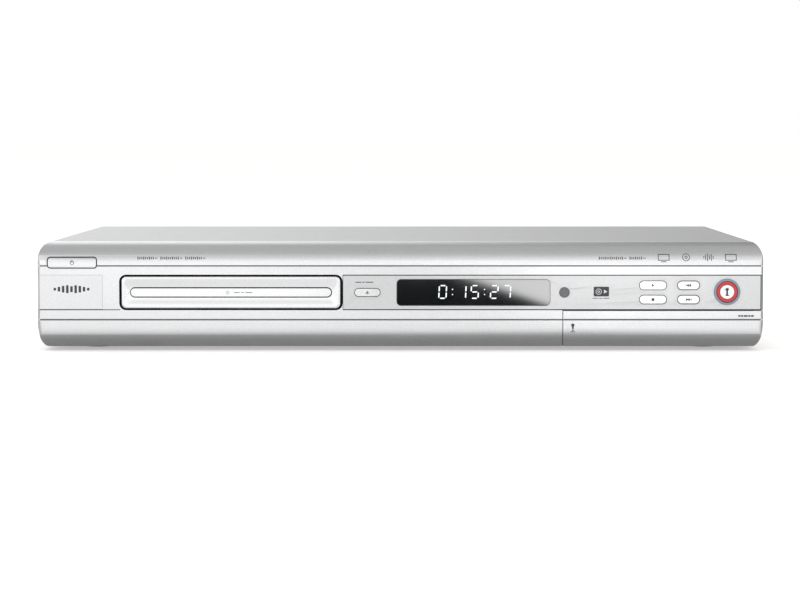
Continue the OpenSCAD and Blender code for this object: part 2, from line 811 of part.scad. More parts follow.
// The rack of the tray: straight-flanked teeth that point to the right.
module tray_rack() {
    pitch = PI * rack_module;
    n = ceil(tray_travel / pitch) + 5;
    half = pitch / 4 - backlash / 2;
    add = 0.95 * rack_module;
    ded = 1.25 * rack_module;
    tip = half - add * tan(pressure);
    root = half + ded * tan(pressure);
    // a space of the rack stands opposite a tooth of the gear at rest
    y_first = tray_gear_at[1] - pitch * 2.5;
    along_z(rack_z0, 3 + eps) union() {
        translate([rack_x - 6, y_first - pitch]) square([6 - ded, (n + 1) * pitch]);
        for (k = [0:n - 1])
            translate([rack_x, y_first + k * pitch])
                polygon([[-ded - 0.1, -root], [add, -tip], [add, tip], [-ded - 0.1, root]]);
    }
}

module disc_tray() color("dimgray") {
    y1 = tray_y0 + tray_l;
    union() {
        difference() {
            span([tray_x - tray_w / 2, tray_y0, tray_z0], [tray_x + tray_w / 2, y1, tray_z1]);
            bar_z([tray_x, disc_y], disc_floor_z, tray_t, disc_recess_r);
            bar_z([tray_x, disc_y], disc_floor_z - 0.9, tray_t, small_recess_r);
            // slot for the pickup, open to the rear
            bar_z([tray_x, disc_y], tray_z0 - 1, tray_t + 2, tray_slot_w / 2);
            span([tray_x - tray_slot_w / 2, disc_y, tray_z0 - 1],
                 [tray_x + tray_slot_w / 2, y1 + 1, tray_z1 + 1]);
            // shallow finger dips at both sides of the disc
            for (s = [-1, 1])
                bar_z([tray_x + s * 52, disc_y - 44], disc_floor_z + 1.2, tray_t, 11);
            // lowered tail between the rails
            span([tray_x - 50, disc_y + disc_recess_r + 4, tray_z1 - 3],
                 [tray_x + 50, y1 + 1, tray_z1 + 1]);
        }
        tray_rack();
    }
}

// ---------------------------------------------------------------- drive

frame_x0 = tray_x - frame_half - frame_wall;
frame_x1 = tray_x + frame_half + frame_wall;
frame_y1 = frame_y0 + frame_l;
frame_boss = frame_half + frame_wall / 2 + 1.4;
frame_screws = [for (s = [-1, 1], y = [frame_y0 + 24, frame_y1 - 8]) [tray_x + s * frame_boss, y]];

module drive_frame() color("darkgray") {
    ix0 = tray_x - frame_half;
    ix1 = tray_x + frame_half;
    floor_z1 = frame_z0 + floor_t;
    difference() {
        union() {
            difference() {
                span([frame_x0, frame_y0, frame_z0], [frame_x1, frame_y1, frame_z1]);
                span([ix0, frame_y0 - 1, floor_z1], [ix1, frame_y1 - 2.5, frame_z1 + 1]);
                // the floor is open in front of the cam slider and under the traverse
                span([ix0, frame_y0 - 1, frame_z0 - 1], [ix1, slider_y - slider_t / 2 - 1.4, floor_z1 + 1]);
                span([tray_x - 44, disc_y - 30, frame_z0 - 1], [tray_x + 44, frame_y1 - 12, floor_z1 + 1]);
                // the front upper corners stay clear of the front board
                span([frame_x0 - 1, frame_y0 - 1, band_z1 - 2], [frame_x1 + 1, frame_y0 + 10, frame_z1 + 1]);
            }
            // deck that carries the loading gears
            span([ix0 - 1, frame_y0, deck_z - deck_t], [ix1 + 1, frame_y0 + deck_l, deck_z]);
            span([ix0 - 1, frame_y0, deck_z - deck_t], [slider_x0 - 6, tray_gear_at[1] + 5, deck_z]);
            // axles of the gears
            bar_z(tray_gear_at, deck_z - 1, tray_z0 - 0.3 - deck_z + 1, axle_r);
            bar_z(pulley_gear_at, deck_z - 1, 9, axle_r);
            // ledges that the tray slides on
            for (s = [0, 1])
                span([s ? ix1 - 4 : ix0 - 1, frame_y0 + 4, ledge_z1 - 2.5],
                     [s ? ix1 + 1 : ix0 + 4, frame_y1 - 1, ledge_z1]);
            // hooks that keep the tray down
            for (s = [0, 1], y = [frame_y0 + 16, disc_y, disc_y + 70])
                span([s ? ix1 - 3 : ix0 - 1, y, tray_z1 + 0.3],
                     [s ? ix1 + 1 : ix0 + 3, y + 8, tray_z1 + 1.9]);
            // bearing blocks of the traverse
            for (s = [-1, 1])
                translate([tray_x + s * 48, pivot_y, 0])
                    span([-3.5, -5, frame_z0], [3.5, 5, pivot_z + 4.5]);
            // rails that the cam slider runs between
            for (x = [[-37, -17], [14, 60]], y = [-slider_t / 2 - 1.4, slider_t / 2 + 0.2])
                span([tray_x + x[0], slider_y + y, frame_z0],
                     [tray_x + x[1], slider_y + y + 1.2, floor_z1 + 2.5]);
            // bosses of the top plate's screws
            for (p = frame_screws) bar_z(p, frame_z1 - 12, 12, 3);
        }
        // holes for the traverse's pivot pins
        bar_x([pivot_y, pivot_z], tray_x - 60, 120, pivot_r + run_fit);
        // hole for the loading motor's boss and shaft
        bar_z(motor_at, deck_z - 5, 10, 3.2);
        for (p = frame_screws) bar_z(p, frame_z1 - 6, 7, screw_r + run_fit);
    }
}

module drive_top_plate() color("lightgray") {
    difference() {
        union() {
            span([frame_x0, frame_y0 + 11, frame_z1], [frame_x1, frame_y1, frame_z1 + base_t]);
            for (p = frame_screws) bar_z(p, frame_z1, base_t, 3);
            // pressed ribs either side of the clamper
            for (s = [-1, 1])
                span([frame_x0 + 12, disc_y + s * 24 - 3, frame_z1 + base_t - eps],
                     [frame_x1 - 12, disc_y + s * 24 + 3, frame_z1 + base_t + 1.2]);
        }
        bar_z([tray_x, disc_y], frame_z1 - 1, 4, 11);
        for (p = frame_screws) bar_z(p, frame_z1 - 1, 5, screw_r + run_fit);
        for (s = [-1, 1]) along_z(frame_z1 - 1, 5) translate([tray_x + s * 40, disc_y + 62]) pill(28, 16);
    }
}

module clamper() color("white") {
    top_z = frame_z1 + base_t;
    pad_z = platter_z + 1.3;
    difference() {
        union() {
            bar_z([tray_x, disc_y], top_z + 0.05, 1.6, 13);
            bar_z([tray_x, disc_y], pad_z + 2, top_z - pad_z - 1.8, 9.5);
            bar_z([tray_x, disc_y], pad_z, 2.4, 14);
        }
        bar_z([tray_x, disc_y], pad_z - 1, 4, 8);
    }
}

module loading_motor() color("silver") {
    body_z0 = base_z1 + 1;
    union() {
        bar_z(motor_at, body_z0, deck_z - deck_t - body_z0 - 0.02, motor_r);
        bar_z(motor_at, deck_z - deck_t - 1, deck_t + 1, 3);
        bar_z(motor_at, deck_z - 1, 5, 1);
    }
}

module motor_pulley() color("white") {
    translate([motor_at[0], motor_at[1], deck_z + 1]) difference() {
        union() {
            cylinder(h = 3, r = motor_pulley_r);
            cylinder(h = 0.5, r = motor_pulley_r + 1);
            translate([0, 0, 2.5]) cylinder(h = 0.5, r = motor_pulley_r + 1);
        }
        translate([0, 0, -1]) cylinder(h = 5, r = 1 + run_fit);
    }
}

// The belt's centreline is an open cross-section between two circles, drawn as a hull.
module belt_outline(grow) {
    hull() {
        translate(pulley_gear_at) circle(pulley_r + grow, $fn = 48);
        translate(motor_at) circle(motor_pulley_r + grow, $fn = 48);
    }
}

module loading_belt() color("black") {
    along_z(deck_z + 1.9, belt_t) difference() {
        belt_outline(0.08 + belt_t);
        belt_outline(0.08);
    }
}

module pulley_gear() color("white") {
    z0 = deck_z + 0.3;
    step_turn = gear_angle + 180;
    translate([pulley_gear_at[0], pulley_gear_at[1], z0]) difference() {
        union() {
            cylinder(h = 4.4, r = pulley_r);
            cylinder(h = 0.8, r = pulley_r + 1.2);
            translate([0, 0, 3.6]) cylinder(h = 0.8, r = pulley_r + 1.2);
            translate([0, 0, 4.4 - eps]) rotate([0, 0, step_turn])
                linear_extrude(3) polygon(gear_points(step_module, step_pinion_teeth, backlash / 2));
        }
        translate([0, 0, -1]) cylinder(h = 12, r = axle_r + run_fit);
    }
}

module tray_gear() color("white") {
    z0 = deck_z + 0.3;
    // a space of the large gear stands opposite the pinion's tooth
    space_turn = gear_angle + 180 / step_gear_teeth;
    translate([tray_gear_at[0], tray_gear_at[1], 0]) difference() {
        union() {
            translate([0, 0, z0]) cylinder(h = 4.8, r = 4);
            translate([0, 0, z0 + 4.7]) rotate([0, 0, space_turn])
                linear_extrude(2.4) polygon(gear_points(step_module, step_gear_teeth, backlash / 2));
            translate([0, 0, z0 + 7]) cylinder(h = rack_z0 - z0 - 7 + 0.2, r = 7);
            translate([0, 0, rack_z0 + 0.1]) rotate([0, 0, 180])
                linear_extrude(2.5) polygon(gear_points(rack_module, rack_gear_teeth, backlash / 2));
        }
        translate([0, 0, z0 - 1]) cylinder(h = 14, r = axle_r + run_fit);
    }
}

cam_pin_x = [tray_x + 2, tray_x + 32];
slider_x0 = tray_x - 19;
slider_x1 = tray_x + 36;

module cam_slider() color("white") {
    half_slot = cam_pin_r + 0.35;
    z0 = frame_z0 + floor_t + 0.1;
    along_y(slider_y - slider_t / 2, slider_t) difference() {
        translate([slider_x0, z0]) square([slider_x1 - slider_x0, pivot_z + 4.2 - z0]);
        for (x = cam_pin_x) cam_slot([x, pivot_z], half_slot);
    }
}

// A slanting slot from the pin's place at rest, down and to the left; its dwell ends are round.
module cam_slot(at, r) {
    slope = atan(pin_drop / cam_travel);
    long = sqrt(pin_drop * pin_drop + cam_travel * cam_travel);
    translate(at) rotate(180 + slope) union() {
        circle(r);
        translate([long, 0]) circle(r);
        translate([0, -r]) square([long, 2 * r]);
    }
}

module traverse_frame() color("slategray") {
    y0 = disc_y - 28;
    y1 = pivot_y + 4;
    difference() {
        union() {
            difference() {
                span([tray_x - traverse_half, y0, traverse_z0], [tray_x + traverse_half, y1, traverse_z1]);
                // clear of the loading gear
                bar_z(tray_gear_at, traverse_z0 - 1, traverse_t + 2, step_gear_r + 2);
            }
            bar_x([pivot_y, pivot_z], tray_x - 50, 100, pivot_r);
            for (x = cam_pin_x)
                bar_y([x, pivot_z], slider_y - slider_t / 2 + 0.1, y0 - slider_y + 3, cam_pin_r);
            // posts of the guide rods
            for (s = [-1, 1], y = [disc_y + 3, pivot_y - 9])
                span([tray_x + s * rod_x - 2.6, y, traverse_z0],
                     [tray_x + s * rod_x + 2.6, y + 4, rod_z + 1.0]);
            // post of the feed screw's free end
            span([tray_x + screw_x - 3.6, disc_y + 3, traverse_z0],
                 [tray_x + screw_x + 3, disc_y + 7, rod_z + 1.0]);
        }
        // window of the pickup
        span([tray_x - 23, disc_y + 8, traverse_z0 - 1], [tray_x + 23, pivot_y - 9.5, traverse_z1 + 1]);
        span([tray_x - 30.5, disc_y + 8, traverse_z0 - 1], [tray_x - 22, pivot_y - 9.5, traverse_z1 + 1]);
        // hole of the spindle motor
        bar_z([tray_x, disc_y], traverse_z0 - 1, traverse_t + 2, 8.2);
        // seat of the feed motor
        span([tray_x + screw_x - 4.5, pivot_y - 9.2, traverse_z0 - 1],
             [tray_x + screw_x + 4.5, pivot_y + 1.6, rod_z + 2]);
        // holes of the guide rods and the feed screw
        bar_y([tray_x + screw_x, screw_z], disc_y + 1, 8, feed_r + run_fit);
        for (s = [-1, 1])
            bar_y([tray_x + s * rod_x, rod_z], disc_y + 4, pivot_y - disc_y - 10, rod_r + run_fit);
    }
}

module guide_rods() color("silver") {
    for (s = [-1, 1]) bar_y([tray_x + s * rod_x, rod_z], disc_y + 4.2, pivot_y - disc_y - 10.4, rod_r);
}

module spindle_motor() color("silver") {
    union() {
        bar_z([tray_x, disc_y], traverse_z0 - 2, traverse_t + 2.4, 8.1);
        bar_z([tray_x, disc_y], traverse_z0 - 2.6, 2.5, 13);
        bar_z([tray_x, disc_y], traverse_z1, 2, 3);
    }
}

module turntable() color("gray") {
    z0 = traverse_z1 + 0.8;
    difference() {
        union() {
            bar_z([tray_x, disc_y], z0, platter_z - 2.6 - z0, 12.5);
            bar_z([tray_x, disc_y], platter_z - 2.7, 2.7, 14.5);
            translate([tray_x, disc_y, platter_z - eps]) cylinder(h = 2.2, r1 = 7.4, r2 = 6.2);
        }
        bar_z([tray_x, disc_y], z0 - 1, 2.9, 3.2);
    }
}

module pickup() color("darkslategray") {
    z_top = rod_z + 2.2;
    difference() {
        union() {
            span([tray_x - rod_x - 3.6, pickup_y - pickup_l / 2, rod_z - 3.2],
                 [tray_x + 19, pickup_y + pickup_l / 2, z_top]);
            span([tray_x + 18, pickup_y - 8, rod_z - 2.2], [tray_x + screw_x - 1.7, pickup_y + 8, z_top]);
            bar_z([tray_x, pickup_y - 4], z_top - 0.5, platter_z - 1.4 - z_top + 0.5, 6);
        }
        bar_y([tray_x - rod_x, rod_z], pickup_y - pickup_l, 2 * pickup_l, rod_r + run_fit);
        // fork that runs on the second rod
        span([tray_x + rod_x - 1.7, pickup_y - pickup_l, rod_z - 1.6],
             [tray_x + screw_x + 1, pickup_y + pickup_l, rod_z + 1.6]);
        bar_z([tray_x, pickup_y - 4], platter_z - 2.6, 3, 2.6);
    }
}

module lead_screw() color("silver") {
    bar_y([tray_x + screw_x, screw_z], disc_y + 3.2, pivot_y - 9.1 - disc_y - 3.2, feed_r);
}

module sled_motor() color("silver") {
    bar_y([tray_x + screw_x, screw_z], pivot_y - 9, 10, 4);
}

// ---------------------------------------------------------------- case

foot_at = [for (x = [-1, 1], y = [front_y + 42, rear_y - 34]) [x * (case_w / 2 - 30), y]];

// Screws that stand up from the base: board corners.
function corners(at, size, in) =
    [for (x = [at[0] + in, at[0] + size[0] - in], y = [at[1] + in, at[1] + size[1] - in]) [x, y]];
board_screws = concat(
    corners(power_at, power_size, 5), corners(av_at, av_size, 6), corners(main_at, main_size, 5)
);
jack_board_z1 = board_z0 - 1.4;
jack_screws = [[flap_x0 + 9, plate_y + 31], [flap_ear_x - 11, plate_y + 31]];

module chassis_base() color("lightgray") {
    w = case_w - 2 * cover_t - 0.4;
    y1 = rear_y - base_t;
    difference() {
        union() {
            span([-w / 2, case_y0, base_z0], [w / 2, y1, base_z1]);
            for (s = [-1, 1])
                span([s > 0 ? w / 2 - base_t : -w / 2, case_y0 + 4, base_z0],
                     [s > 0 ? w / 2 : -w / 2 + base_t, y1, base_z0 + 16]);
            for (p = board_screws) bar_z(p, base_z1 - 0.5, standoff_h + 0.5, 3.2);
            for (p = jack_screws) bar_z(p, base_z1 - 0.5, jack_board_z1 - board_t - base_z1 + 0.5, 3.2);
            // feet of the drive
            for (s = [-1, 1], y = [frame_y0 + 34, frame_y0 + frame_l - 10])
                bar_z([tray_x + s * (frame_half - 2), y], base_z1 - 0.5, frame_z0 - base_z1 + 0.5, 4);
        }
        for (p = concat(board_screws, jack_screws)) bar_z(p, base_z0 - 1, standoff_h + 4, screw_r + run_fit);
        for (p = foot_at) bar_z(p, base_z0 - 1, 4, 3.1);
        // ventilation slots under the boards
        for (k = [0:11])
            along_z(base_z0 - 1, 4) translate([30 + k * 9, (front_y + rear_y) / 2 - 12])
                rotate(90) pill(52, 4);
        // openings for the screws of the cover
        for (s = [-1, 1], y = side_screw_y) bar_x([y, side_screw_z], s * w / 2 - 3, 6, screw_r + run_fit);
    }
}

module vent_slots(y0, n) {
    for (k = [0:n - 1], z = [0, 1])
        translate([y0 + k * 7, 28 + z * 17]) square([2.6, 12], center = true);
}

module top_cover() color("silver") {
    z0 = base_z0 - 0.5;
    y0 = case_y0 + 0.3;
    r = 2.5;
    difference() {
        union() {
            along_y(y0, rear_y - y0) difference() {
                union() {
                    translate([-case_w / 2, z0]) square([case_w, cover_z1 - r - z0]);
                    translate([-case_w / 2 + r, cover_z1 - r]) square([case_w - 2 * r, r]);
                    for (s = [-1, 1]) translate([s * (case_w / 2 - r), cover_z1 - r]) circle(r);
                }
                translate([-case_w / 2 + cover_t, z0 - 1])
                    square([case_w - 2 * cover_t, cover_z1 - r - z0 + 1]);
                translate([-case_w / 2 + r, cover_z1 - r - eps]) square([case_w - 2 * r, r - cover_t + eps]);
                for (s = [-1, 1]) translate([s * (case_w / 2 - r), cover_z1 - r]) circle(r - cover_t);
            }
            // tabs that hook over the rear panel
            for (x = rear_screw_x)
                span([x - 12, rear_y + 0.02, rear_screw_z - 5], [x + 12, rear_y + cover_t + 0.02, cover_z1]);
            for (x = rear_screw_x)
                span([x - 12, rear_y - eps, cover_z1 - cover_t], [x + 12, rear_y + cover_t, cover_z1]);
        }
        along_x(-case_w / 2 - 1, case_w + 2) vent_slots(rear_y - 118, 9);
        for (y = side_screw_y) bar_x([y, side_screw_z], -case_w / 2 - 1, case_w + 2, screw_r + run_fit);
        for (x = rear_screw_x) bar_y([x, rear_screw_z], rear_y - 1, 4, screw_r + run_fit);
    }
}

module rear_panel() color("lightgray") {
    w = case_w - 2 * cover_t - 0.4;
    z1 = cover_z1 - cover_t - 0.1;
    difference() {
        along_y(rear_y - base_t, base_t) union() {
            translate([-w / 2, base_z0]) square([w, z1 - 2 - base_z0]);
            translate([-w / 2 + 2, base_z0]) square([w - 4, z1 - base_z0]);
        }
        for (p = phono_list) if (p[3] > 0) bar_y([p[0], p[1]], rear_y - 3, 5, phono_r + 0.25);
        bar_y([phono_x[0], phono_high_z], rear_y - 3, 5, 5.5);
        for (z = scart_z)
            along_y(rear_y - 3, 5) translate([scart_x, z])
                square([scart_w + 0.6, scart_h + 0.6], center = true);
        for (x = aerial_x) bar_y([x, aerial_z], rear_y - 3, 5, 6.6);
        along_y(rear_y - 3, 5) translate([inlet_x, inlet_z]) rounded(22.4, 13.4, 2);
        // fan grille: level slots inside a circle
        along_y(rear_y - 3, 5) translate(fan_at) intersection() {
            circle(fan_w / 2 - 1.6);
            for (k = [-4:4]) translate([0, k * 4]) square([fan_w, 2.4], center = true);
        }
        for (x = [-1, 1], z = [-1, 1])
            bar_y([fan_at[0] + x * (fan_w / 2 - 4), fan_at[1] + z * (fan_w / 2 - 4)],
                  rear_y - 3, 5, screw_r + run_fit);
        for (x = rear_screw_x) bar_y([x, rear_screw_z], rear_y - 3, 5, screw_r + run_fit);
    }
}

module feet() color("dimgray") {
    for (p = foot_at) translate([p[0], p[1], 0]) rotate_extrude()
        polygon([[0, 1.2], [foot_r - 4.5, 1.2], [foot_r - 4.2, 0], [foot_r - 1, 0], [foot_r - 0.2, 0.8],
                 [foot_r, foot_h], [3, foot_h], [3, foot_h + base_t + 0.2], [0, foot_h + base_t + 0.2]]);
}

// A pan-head screw along +Z, its head's underside at z = 0 and its point downwards.
module screw(l) {
    union() {
        translate([0, 0, -l]) cylinder(h = l + 0.1, r = screw_r);
        difference() {
            translate([0, 0, 0.02]) cylinder(h = screw_head_h, r1 = screw_head_r, r2 = screw_head_r - 0.7);
            for (a = [0, 90]) rotate([0, 0, a]) translate([-1.6, -0.3, 1]) cube([3.2, 0.6, 2]);
        }
    }
}

module screws() color("darkgray") {
    for (s = [-1, 1], y = side_screw_y)
        translate([s * case_w / 2, y, side_screw_z]) rotate([0, s * 90, 0]) screw(5);
    for (x = rear_screw_x)
        translate([x, rear_y + cover_t + 0.02, rear_screw_z]) rotate([-90, 0, 0]) screw(5);
    for (x = [-1, 1], z = [-1, 1])
        translate([fan_at[0] + x * (fan_w / 2 - 4), rear_y, fan_at[1] + z * (fan_w / 2 - 4)])
            rotate([-90, 0, 0]) screw(7);
    for (p = board_screws) translate([p[0], p[1], board_z1]) screw(6);
    for (p = jack_screws) translate([p[0], p[1], jack_board_z1]) screw(5);
    for (p = frame_screws) translate([p[0], p[1], frame_z1 + base_t]) screw(6);
}

module fan_frame() color("black") {
    y0 = rear_y - base_t - fan_d;
    difference() {
        along_y(y0, fan_d) translate(fan_at) rounded(fan_w, fan_w, 3);
        bar_y(fan_at, y0 - 1, fan_d - 1.5, fan_w / 2 - 1.2);
        difference() {
            bar_y(fan_at, y0 + 2, fan_d, fan_w / 2 - 1.2);
            bar_y(fan_at, y0 + 1, fan_d + 1, 10);
            for (a = [30, 150, 270])
                translate([fan_at[0], y0 + fan_d - 2.6, fan_at[1]]) rotate([0, a, 0]) cube([30, 3, 2.4]);
        }
        for (x = [-1, 1], z = [-1, 1])
            bar_y([fan_at[0] + x * (fan_w / 2 - 4), fan_at[1] + z * (fan_w / 2 - 4)],
                  y0 - 1, fan_d + 2, screw_r + run_fit);
    }
}

module fan_impeller() color("dimgray") {
    y0 = rear_y - base_t - fan_d + 0.8;
    hub_l = fan_d - 3.6;
    union() {
        bar_y(fan_at, y0, hub_l, 9.5);
        for (k = [0:6])
            translate([fan_at[0], y0 + hub_l / 2, fan_at[1]]) rotate([0, k * 360 / 7, 0])
                rotate([38, 0, 0]) translate([9, -0.5, -3.4]) cube([fan_w / 2 - 11.6, 1, 6.8]);
    }
}

// ---------------------------------------------------------------- boards

// A board on the base, with its screw holes.
module board(at, size, in) {
    difference() {
        span([at[0], at[1], board_z0], [at[0] + size[0], at[1] + size[1], board_z1]);
        for (p = corners(at, size, in)) bar_z(p, board_z0 - 1, board_t + 2, screw_r + run_fit);
    }
}

module power_board() color("peru") board(power_at, power_size, 5);
module av_board() color("darkgreen") board(av_at, av_size, 6);
module main_board() color("darkgreen") board(main_at, main_size, 5);

module power_transformer() color("gold") {
    x = power_at[0] + 96;
    y = power_at[1] + 30;
    union() {
        span([x - 15, y - 13, board_z1], [x + 15, y + 13, board_z1 + 5]);
        span([x - 17, y - 7, board_z1 + 5 - eps], [x + 17, y + 7, board_z1 + 26]);
        span([x - 11, y - 12, board_z1 + 4], [x + 11, y + 12, board_z1 + 22]);
    }
}

// Capacitors of the power board: [x, y, radius, height].
capacitor_list = [
    [62, 22, 11, 30], [132, 14, 5, 20], [132, 28, 5, 20], [132, 42, 5, 20], [146, 20, 4, 14],
    [146, 34, 4, 14], [160, 26, 6.3, 20]
];
module power_capacitors() color("midnightblue") {
    for (c = capacitor_list) bar_z([power_at[0] + c[0], power_at[1] + c[1]], board_z1, c[3], c[2]);
}

module mains_inlet() color("black") {
    difference() {
        union() {
            along_y(rear_y - 16, 17.2) translate([inlet_x, inlet_z]) rounded(22, 13, 1.8);
            along_y(rear_y + 0.02, 1.2) translate([inlet_x, inlet_z]) rounded(26, 17, 2.5);
            span([inlet_x - 9, rear_y - 15, board_z1], [inlet_x + 9, rear_y - 5, inlet_z]);
        }
        along_y(rear_y - 9.8, 12) translate([inlet_x, inlet_z]) pill(15.2, 8.2);
    }
    for (s = [-1, 1]) bar_y([inlet_x + s * 3.5, inlet_z], rear_y - 9.9, 9, 1.15);
}

module main_heatsink() color("silver") {
    x = main_at[0] + 96;
    y = main_at[1] + 58;
    z = board_z1 + 2.5;
    union() {
        span([x - 20, y - 20, z], [x + 20, y + 20, z + 2.5]);
        for (k = [0:7])
            span([x - 20 + k * 5.5, y - 20, z + 2.4], [x - 18.5 + k * 5.5, y + 20, z + 13]);
    }
    span([x - 13, y - 13, board_z1], [x + 13, y + 13, z - 0.02]);
}

aerial_x = [tuner_x - 12, tuner_x + 12];
module tuner() color("silver") {
    y1 = rear_y - base_t - 0.1;
    union() {
        span([tuner_x - 24, y1 - 52, board_z1], [tuner_x + 24, y1, aerial_z + 9]);
        // input: a socket the plug enters
        difference() {
            bar_y([aerial_x[0], aerial_z], y1 - 0.1, rear_y - y1 + socket_reach + 0.1, 6.2);
            bar_y([aerial_x[0], aerial_z], rear_y + socket_reach - 8, 9, 4.75);
        }
        // output: a plug with a pin in its middle
        difference() {
            bar_y([aerial_x[1], aerial_z], y1 - 0.1, rear_y - y1 + socket_reach + 0.1, 4.75);
            bar_y([aerial_x[1], aerial_z], rear_y + socket_reach - 8, 9, 4.1);
        }
        bar_y([aerial_x[1], aerial_z], y1 - 0.1, rear_y - y1 + socket_reach - 1, 1.15);
    }
}

// The D-shaped outline of a scart socket, grown by g.
module scart_outline(g) {
    w = 43 / 2 + g;
    h = 6 + g;
    polygon([[-w, h], [w, h], [w, -h + 4], [w - 4, -h], [-w, -h]]);
}

module scart_sockets() color("black") {
    for (z = scart_z) translate([scart_x, 0, z]) union() {
        difference() {
            along_y(rear_y - 18, 19.5) square([scart_w, scart_h], center = true);
            along_y(rear_y - 8, 11) scart_outline(0.8);
        }
        along_y(rear_y - 9, 9.8) scart_outline(-0.9);
    }
    span([scart_x - scart_w / 2, rear_y - 16, board_z1],
        [scart_x + scart_w / 2, rear_y - 4, scart_z[0] - scart_h / 2 - 0.02]);
    span([scart_x - 14, rear_y - 16, scart_z[0] + scart_h / 2 + 0.02],
        [scart_x + 14, rear_y - 6, scart_z[1] - scart_h / 2 - 0.02]);
}

// A flat cable of width w along X whose side view follows points in (y, z).
module flat_cable(x, w, t, points) {
    n = len(points);
    along_x(x - w / 2, w) polygon(concat(points, [for (k = [n - 1:-1:0]) points[k] + [0, t]]));
}

// Each cable's middle, from the piece that it starts at.
display_cable_shift = 16.3;
socket_cable_shift = 52.5;
link_cable_shift = 52;

module ribbon_cables() color("gray") {
    y_front = board_front_y + board_t;
    y_main = main_at[1];
    // display board to main board
    flat_cable(window_x + display_cable_shift, 24, 1, [
        [y_front + 0.1, 31], [y_front + 6, 30], [y_front + 16, 24], [y_main - 2, 17],
        [y_main + 4, board_z1 + 0.1], [y_main + 12, board_z1 + 0.1]
    ]);
    // socket board behind the flap to main board
    flat_cable(flap_x0 + socket_cable_shift, 14, 1, [
        [plate_y + 30, board_z0 - 1.3], [plate_y + 34, board_z0 + 0.6],
        [y_main + 2, board_z1 + 0.6], [y_main + 10, board_z1 + 0.1]
    ]);
    // main board to the sockets' board
    flat_cable(av_at[0] + link_cable_shift, 30, 1, [
        [y_main + 106, board_z1 + 0.1], [y_main + 112, board_z1 + 5],
        [av_at[1] + 1, board_z1 + 5], [av_at[1] + 8, board_z1 + 0.1]
    ]);
}

// ---------------------------------------------------------------- nodes

front_bezel();
badge_plate();
control_panel();
display_window();
ir_lens();
record_collar();
record_ring();
record_button();
standby_button();
open_close_button();
play_button();
stop_button();
back_button();
next_button();
flap_door();
socket_plate();
phono_sleeves();
phono_inserts();
dv_socket();
s_video_sockets();
front_av_board();
front_board();
display_tube();
key_switches();
tray_door();
tray_door_bar();
disc_tray();
drive_frame();
drive_top_plate();
clamper();
loading_motor();
motor_pulley();
loading_belt();
pulley_gear();
tray_gear();
cam_slider();
traverse_frame();
guide_rods();
spindle_motor();
turntable();
pickup();
lead_screw();
sled_motor();
chassis_base();
top_cover();
rear_panel();
feet();
screws();
fan_frame();
fan_impeller();
power_board();
power_transformer();
power_capacitors();
mains_inlet();
main_board();
main_heatsink();
av_board();
tuner();
scart_sockets();
ribbon_cables();
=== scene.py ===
"""Looks of a slim home disc recorder: finishes, fine pieces, soft light and a camera.

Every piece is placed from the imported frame, in metres, with +X to the right of someone who faces
the front, +Y to the back and +Z up. The frame's own pieces carry the shape; this file gives them
their finishes, rounds the edges of the ones that show, and adds printed marks, lit digits, coloured
socket rings and the small parts on the circuit boards.
"""

from __future__ import annotations

import json
import logging
import math
import random
from dataclasses import dataclass, field
from enum import Enum
from typing import Callable, Iterable, Protocol, Sequence

import bmesh
import bpy
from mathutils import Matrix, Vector
from mathutils.bvhtree import BVHTree

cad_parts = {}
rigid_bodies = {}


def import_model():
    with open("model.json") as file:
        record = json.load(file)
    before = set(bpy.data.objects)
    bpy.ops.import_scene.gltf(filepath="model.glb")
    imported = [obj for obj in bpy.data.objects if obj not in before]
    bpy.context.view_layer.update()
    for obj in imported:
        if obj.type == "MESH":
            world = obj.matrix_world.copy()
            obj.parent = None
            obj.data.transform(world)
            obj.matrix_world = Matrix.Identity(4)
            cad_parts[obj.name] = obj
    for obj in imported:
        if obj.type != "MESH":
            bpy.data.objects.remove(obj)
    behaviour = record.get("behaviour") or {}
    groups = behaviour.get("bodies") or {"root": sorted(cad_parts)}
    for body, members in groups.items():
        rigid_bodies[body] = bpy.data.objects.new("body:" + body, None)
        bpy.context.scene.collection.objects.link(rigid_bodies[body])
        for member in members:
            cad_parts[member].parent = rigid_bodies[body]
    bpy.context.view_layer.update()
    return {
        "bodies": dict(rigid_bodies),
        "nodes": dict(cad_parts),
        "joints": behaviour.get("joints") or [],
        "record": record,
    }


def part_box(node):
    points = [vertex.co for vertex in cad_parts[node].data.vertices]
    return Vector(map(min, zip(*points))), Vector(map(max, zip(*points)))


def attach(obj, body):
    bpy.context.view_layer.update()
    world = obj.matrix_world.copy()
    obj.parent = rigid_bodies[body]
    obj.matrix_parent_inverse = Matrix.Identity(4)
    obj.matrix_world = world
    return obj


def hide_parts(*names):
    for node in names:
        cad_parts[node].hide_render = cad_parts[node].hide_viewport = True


MM = 0.001
HAIR = 0.00001
log = logging.getLogger("disc_recorder")

Colour = tuple[float, float, float]
Point = tuple[float, float, float]
Range = tuple[float, float, float, float]


class Axis(Enum):
    """A level direction of the row frame."""

    X = 0
    Y = 1


# ------------------------------------------------------------------ shader helpers


